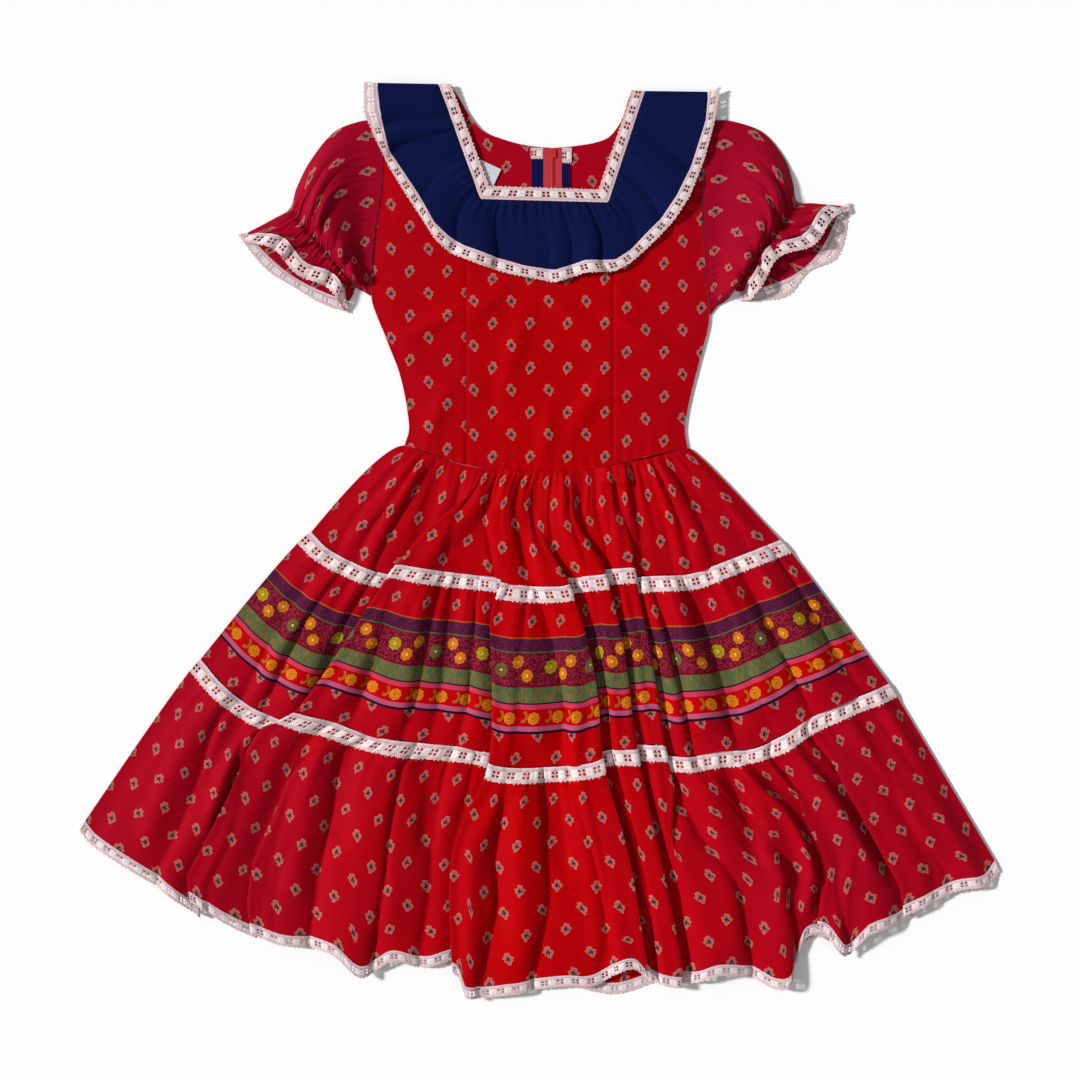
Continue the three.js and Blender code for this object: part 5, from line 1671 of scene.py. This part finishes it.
def row_tree(name, shape_kind):
    """A tree that sets one small shape after another along the edges of a mesh."""
    tree = bpy.data.node_groups.new(name, "GeometryNodeTree")
    face = tree.interface
    face.new_socket(name="Line", in_out="INPUT", socket_type="NodeSocketGeometry")
    for label, default in ROW_SIZES.items():
        face.new_socket(name=label, in_out="INPUT", socket_type="NodeSocketFloat").default_value = default
    face.new_socket(name="Finish", in_out="INPUT", socket_type="NodeSocketMaterial")
    face.new_socket(name="Row", in_out="OUTPUT", socket_type="NodeSocketGeometry")
    add = tree.nodes.new
    given, made = add("NodeGroupInput"), add("NodeGroupOutput")
    to_curve = add("GeometryNodeMeshToCurve")
    spread = add("GeometryNodeResampleCurve")
    spread.mode = "LENGTH"
    tangent = add("GeometryNodeInputTangent")
    turn = add("FunctionNodeAlignRotationToVector")
    turn.axis = "X"
    size = add("ShaderNodeCombineXYZ")
    shape = add(shape_kind)
    if shape_kind == "GeometryNodeMeshUVSphere":
        shape.inputs["Segments"].default_value = 6
        shape.inputs["Rings"].default_value = 4
        shape.inputs["Radius"].default_value = 0.5
    else:
        shape.inputs["Size"].default_value = (1, 1, 1)
    put = add("GeometryNodeInstanceOnPoints")
    real = add("GeometryNodeRealizeInstances")
    dress = add("GeometryNodeSetMaterial")
    link = tree.links.new
    link(given.outputs["Line"], to_curve.inputs["Mesh"])
    link(to_curve.outputs["Curve"], spread.inputs["Curve"])
    link(given.outputs["Pitch"], spread.inputs["Length"])
    link(tangent.outputs["Tangent"], turn.inputs["Vector"])
    for k, label in enumerate(("Length", "Width", "Height")):
        link(given.outputs[label], size.inputs[k])
    link(spread.outputs["Curve"], put.inputs["Points"])
    link(shape.outputs["Mesh"], put.inputs["Instance"])
    link(turn.outputs["Rotation"], put.inputs["Rotation"])
    link(size.outputs["Vector"], put.inputs["Scale"])
    link(put.outputs["Instances"], real.inputs["Geometry"])
    link(real.outputs["Geometry"], dress.inputs["Geometry"])
    link(given.outputs["Finish"], dress.inputs["Material"])
    link(dress.outputs["Geometry"], made.inputs["Row"])
    return tree


def row_piece(name, lines, tree, values, material):
    """Plain mesh of what the tree sets along lines of points in the pattern's millimetres."""
    points, edges = [], []
    for line in lines:
        start = len(points)
        points += ((np.asarray(line, float) + SHIFT) * MM).tolist()
        edges += [(start + i, start + i + 1) for i in range(len(line) - 1)]
    guide_mesh = bpy.data.meshes.new(f"{name}_line")
    guide_mesh.from_pydata(points, edges, [])
    guide = bpy.data.objects.new(f"{name}_line", guide_mesh)
    bpy.context.scene.collection.objects.link(guide)
    row = guide.modifiers.new("row", "NODES")
    row.node_group = tree
    sockets = {item.name: item.identifier for item in tree.interface.items_tree if item.in_out == "INPUT"}
    for label, value in values.items():
        row[sockets[label]] = value
    row[sockets["Finish"]] = material
    graph = bpy.context.evaluated_depsgraph_get()
    mesh = bpy.data.meshes.new_from_object(guide.evaluated_get(graph))
    mesh.name = name
    bpy.data.objects.remove(guide)
    bpy.data.meshes.remove(guide_mesh)
    if not mesh.materials:
        mesh.materials.append(material)
    mesh.shade_smooth()
    made = bpy.data.objects.new(name, mesh)
    bpy.context.scene.collection.objects.link(made)
    return made


# Operators
def walls():
    """Walls of the cloth and of the lace, in millimetres."""
    sizes = bpy.context.scene.dress_sizes
    return sizes.cloth_wall / MM, sizes.lace_wall / MM


class DRESS_OT_skirt(bpy.types.Operator):
    """Makes the three gathered tiers, front and back, with their lace"""

    bl_idname = "dress.skirt"
    bl_label = "Skirt tiers"

    def execute(self, context):
        cloth_wall, lace_wall = walls()
        cuts = {"front": TIER_CUT, "back": BACK_CUT}
        for tier, cloth in enumerate(TIER_CLOTH):
            front, front_flat, front_down = tier_front(tier, context.scene.dress_sizes.gather_lift)
            back, back_flat, back_down = tier_back(tier)
            sides = [("front", front, front_flat, cloth_wall), ("back", back, back_flat, BACK_WALL)]
            for where, grid, flat, wall in sides:
                size = (cuts[where][tier], TIER_DEPTH[tier])
                panel(f"skirt_tier_{tier + 1}_{where}", grid, flat, wall, cloth, size)
            if tier:
                near = front_down <= LACE_WIDTH + 3
                size = (TIER_CUT[tier - 1], LACE_WIDTH)
                node = f"tier_lace_{tier}_front"
                edging(node, front[near], front_down[near], lace_wall, "tier", size)
                near = back_down <= LACE_WIDTH + 6
                strip = raised(back[near][..., :2], UNDER_LACE_TOP)
                size = (BACK_CUT[tier - 1], LACE_WIDTH)
                node = f"tier_lace_{tier}_back"
                edging(node, strip, back_down[near], UNDER_LACE_WALL, "tier_back", size)
        for where, grid, z in (("front", front, 0), ("back", back, -0.2)):
            strip = hem_strip(grid, HEM_LACE_WIDTH) + [0, 0, z]
            size = (cuts[where][2], HEM_LACE_WIDTH)
            edging(f"hem_lace_{where}", strip, even_rows(strip), lace_wall, "hem", size)
        return {"FINISHED"}


class DRESS_OT_bodice(bpy.types.Operator):
    """Makes the princess-seamed front and the two backs"""

    bl_idname = "dress.bodice"
    bl_label = "Bodice"

    def execute(self, context):
        cloth_wall, _ = walls()
        panels = {
            "bodice_front_centre": (centre_front(), cloth_wall, "red", (180, 326)),
            "bodice_front_side_left": (side_front(-1), cloth_wall, "red", (122, 420)),
            "bodice_front_side_right": (side_front(1), cloth_wall, "red", (126, 420)),
            "bodice_back_left": (bodice_back(-1), BACK_WALL, "back", (205, 430)),
            "bodice_back_right": (bodice_back(1), BACK_WALL, "back", (185, 430)),
        }
        for number, (node, (grid, wall, material, size)) in enumerate(panels.items()):
            # Each panel is cut from its own place on the print
            flat = grid[..., :2] + [1000 + number * 310, -1000 - number * 9]
            panel(node, grid, flat, wall, material, size)
        return {"FINISHED"}


class DRESS_OT_sleeves(bpy.types.Operator):
    """Makes the two puffed sleeves with their flounces and lace"""

    bl_idname = "dress.sleeves"
    bl_label = "Sleeves"

    def execute(self, context):
        cloth_wall, lace_wall = walls()
        for side in SLEEVES:
            ring, q, is_back = sleeve_ring(side)
            lace = sleeve_lace(side, ring, q, is_back)
            if side == "right":
                ring, lace = ring[:, ::-1], lace[:, ::-1]
            flat = own_flat(ring, True) * [SLEEVE_FULLNESS, 1]
            panel(f"sleeve_{side}", ring, flat, cloth_wall, "sleeve", (320, 158), True)
            size = (280, LACE_WIDTH)
            edging(f"sleeve_lace_{side}", lace, even_rows(lace), lace_wall, "edge", size, True)
        return {"FINISHED"}


class DRESS_OT_collar(bpy.types.Operator):
    """Makes the gathered collar, front and back, and the lace of its edge and of the neck"""

    bl_idname = "dress.collar"
    bl_label = "Collar and neck lace"

    def execute(self, context):
        cloth_wall, lace_wall = walls()
        grid = front_collar()
        panel("collar_front", grid, own_flat(grid), cloth_wall, "navy", (640, 76))
        lace = front_collar_lace()
        edging("collar_lace_front", lace, even_rows(lace), lace_wall, "edge", (560, LACE_WIDTH))
        edging("neck_lace_front", neck_lace(), NECK_LACE_ROWS, lace_wall, "edge", (400, 15))
        for side, lines in BACK_COLLAR.items():
            grid = flat_strip(lines["lace_end"], lines["edge"], 2 * SEAM_GAP, BACK_COLLAR_TOP, rows=12)
            panel(f"collar_back_{side}", grid, own_flat(grid), BACK_WALL, "navy", (210, 70))
            strips = [
                ("collar_lace_back", "edge", "lace_edge", 2 * SEAM_GAP, (270, LACE_WIDTH)),
                ("neck_lace_back", "lace_end", "neck", 0, (140, 15)),
            ]
            for name, start, end, apart, size in strips:
                strip = flat_strip(lines[start], lines[end], apart, UNDER_LACE_TOP)
                node = f"{name}_{side}"
                edging(node, strip, even_rows(strip), BACK_COLLAR_LACE_WALL, "under", size)
        return {"FINISHED"}


def sewn_height(y):
    """Height of what is sewn on the inside of the back, seen through the neck."""
    return back_top(y) + ON_BACK + BACK_LAYER


def on_back(low, high, top, bottom, columns):
    """A strip that lies on the inside of the back."""
    y = np.linspace(top, bottom, max(2, int((top - bottom) / 5)))
    xs, ys = np.meshgrid(np.linspace(low, high, columns), y)
    return np.stack([xs, ys, sewn_height(ys)], -1)


def label_grid():
    """Top side of the label, with its two ends a little raised."""
    corners = np.array(LABEL_CORNERS, float)
    t = np.linspace(0, 1, 12)[None, :, None]
    v = np.linspace(0, 1, 8)[:, None, None]
    place = mix(mix(corners[0, 0], corners[0, 1], t), mix(corners[1, 0], corners[1, 1], t), v)
    return raised(place, sewn_height(440) + 0.5 * (2 * t[..., 0] - 1) ** 2)


def coil_line(top, bottom, count):
    """Points down the middle of the zip, on its tape."""
    y = np.linspace(top, bottom, count)
    return np.stack([np.full(count, ZIP_CENTRE), y, back_top(y) + ON_BACK + COIL_HEIGHT], -1)


class DRESS_OT_zip(bpy.types.Operator):
    """Makes the zip's tape and coil, the turned-in ends beside it and the blank label"""

    bl_idname = "dress.zip"
    bl_label = "Zip and label"

    def execute(self, context):
        low, high = ZIP_CENTRE - ZIP_HALF_WIDTH, ZIP_CENTRE + ZIP_HALF_WIDTH
        grid = on_back(low, high, ZIP_TOP - 1, -14, 9)
        panel("zip_tape", grid, own_flat(grid), 0.8, "tape", (21.4, 463))
        ends = [
            ("collar_end_left", -9, low - SEAM_GAP, 435.7, 371),
            ("collar_end_right", high + SEAM_GAP, 35, 430.7, 371),
        ]
        for node, x_low, x_high, top, bottom in ends:
            grid = on_back(x_low, x_high, top, bottom, 12)
            grid[..., 2] += 0.5 * np.sin(grid[..., 0] * 1.1 + grid[..., 1] / 30) ** 2
            size = (x_high - x_low + 2, top - bottom + 2)
            panel(node, grid, own_flat(grid), BACK_WALL, "navy", size)
        bits = [
            ("neck_lace_end_left", -10, low - SEAM_GAP, 449.5, 436),
            ("neck_lace_end_right", high + SEAM_GAP, 37, 449.5, 431),
        ]
        for node, x_low, x_high, top, bottom in bits:
            grid = on_back(x_low, x_high, top, bottom, 8)
            size = (x_high - x_low + 1, top - bottom)
            edging(node, grid, even_rows(grid), UNDER_LACE_WALL, "under", size)
        grid = label_grid()
        panel("neck_label", grid, own_flat(grid), 0.5, "label", (34.2, 21))
        below = coil_line(SLIDER_BOTTOM - 0.5, COIL_BOTTOM, 40)
        above = coil_line(ZIP_TOP - 1.5, SLIDER_BOTTOM + SLIDER_LENGTH, 4)
        tree = row_tree("zip coil", "GeometryNodeMeshCube")
        values = {"Pitch": context.scene.dress_sizes.coil_pitch, **COIL_TURN}
        coil = row_piece("zip_coil", [below, above], tree, values, finish("coil"))
        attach(coil, "dress")
        for name in ("zip_slider", "zip_pull"):
            metal = bpy.data.objects[name].data
            metal.materials.clear()
            metal.materials.append(finish("enamel"))
        return {"FINISHED"}


STITCH_SHARE = 0.72  # share of the pitch that a stitch shows


class DRESS_OT_stitching(bpy.types.Operator):
    """Sews the lines of stitches along the lace headings"""

    bl_idname = "dress.stitching"
    bl_label = "Stitching"

    def execute(self, context):
        tree = row_tree("running stitches", "GeometryNodeMeshUVSphere")
        pitch = context.scene.dress_sizes.stitch_pitch
        values = {"Pitch": pitch, "Length": pitch * STITCH_SHARE, "Width": 0.0005, "Height": 0.0004}
        white = row_piece("lace_heading_stitches", stitch_lines, tree, values, finish("thread"))
        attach(white, "dress")
        return {"FINISHED"}


FLOOR_SIZE = 60.0
FLOOR_DROP = 0.0002
CAMERA_HEIGHT = 3.0
FRAME_WIDTH = 1.242  # what the picture spans at the surface, in metres
SENSOR = 36.0
CAMERA_PLACE = (0.00045, -0.00087)
# The lights: place, width of the sun in degrees and strength
LIGHTS = {
    "key": ((-2.65, 0.55, 1.85), 7, 4.0),
    "fill": ((1.2, -0.6, 2.6), 60, 0.3),
}
ROOM_LIGHT = 0.27


class DRESS_OT_stage(bpy.types.Operator):
    """Sets the pale floor, the soft lights and the camera straight above"""

    bl_idname = "dress.stage"
    bl_label = "Floor, lights and camera"

    def execute(self, context):
        scene = context.scene
        mesh = bpy.data.meshes.new("floor")
        half = FLOOR_SIZE / 2
        corners = [(-half, -half), (half, -half), (half, half), (-half, half)]
        mesh.from_pydata([(x, y, -FLOOR_DROP) for x, y in corners], [], [(0, 1, 2, 3)])
        mesh.materials.append(finish("floor"))
        floor = bpy.data.objects.new("floor", mesh)
        scene.collection.objects.link(floor)
        for name, (place, width, power) in LIGHTS.items():
            lamp = bpy.data.lights.new(name, "SUN")
            lamp.angle = math.radians(width)
            lamp.energy = power
            light = bpy.data.objects.new(name, lamp)
            light.location = place
            light.rotation_euler = (-light.location).to_track_quat("-Z", "Y").to_euler()
            scene.collection.objects.link(light)
        world = bpy.data.worlds.new("soft room")
        world.use_nodes = True
        room = world.node_tree.nodes["Background"]
        room.inputs["Color"].default_value = (1, 1, 1, 1)
        room.inputs["Strength"].default_value = ROOM_LIGHT
        scene.world = world
        scene.view_settings.view_transform = "Standard"
        lens = bpy.data.cameras.new("camera")
        lens.sensor_width = SENSOR
        lens.lens = SENSOR * CAMERA_HEIGHT / FRAME_WIDTH
        camera = bpy.data.objects.new("camera", lens)
        camera.location = (*CAMERA_PLACE, CAMERA_HEIGHT)
        scene.collection.objects.link(camera)
        scene.camera = camera
        return {"FINISHED"}


PIECE_OPERATORS = (
    DRESS_OT_skirt, DRESS_OT_bodice, DRESS_OT_sleeves, DRESS_OT_collar, DRESS_OT_zip,
    DRESS_OT_stitching, DRESS_OT_stage,
)


class DRESS_PT_panel(bpy.types.Panel):
    """Lists the pieces of the dress"""

    bl_label = "Dress"
    bl_idname = "DRESS_PT_panel"
    bl_space_type = "VIEW_3D"
    bl_region_type = "UI"
    bl_category = "Dress"

    def draw(self, context):
        column = self.layout.column()
        for piece in PIECE_OPERATORS:
            column.operator(piece.bl_idname)
        for group in (context.scene.dress_sizes, context.scene.dress_colours):
            for name in group.bl_rna.properties.keys():
                if name not in ("rna_type", "name"):
                    column.prop(group, name)


CLASSES = (DressSizes, DressColours, *PIECE_OPERATORS, DRESS_PT_panel)


def register():
    """Adds the classes and the scene's own settings to Blender."""
    for made in CLASSES:
        bpy.utils.register_class(made)
    bpy.types.Scene.dress_sizes = bpy.props.PointerProperty(type=DressSizes)
    bpy.types.Scene.dress_colours = bpy.props.PointerProperty(type=DressColours)


def unregister():
    """Takes them out again."""
    del bpy.types.Scene.dress_colours
    del bpy.types.Scene.dress_sizes
    for made in reversed(CLASSES):
        bpy.utils.unregister_class(made)


def main():
    """Makes the whole dress."""
    register()
    bpy.ops.dress.stage()
    bpy.ops.dress.skirt()
    bpy.ops.dress.bodice()
    bpy.ops.dress.sleeves()
    bpy.ops.dress.collar()
    bpy.ops.dress.zip()
    bpy.ops.dress.stitching()


if __name__ == "__main__":
    main()
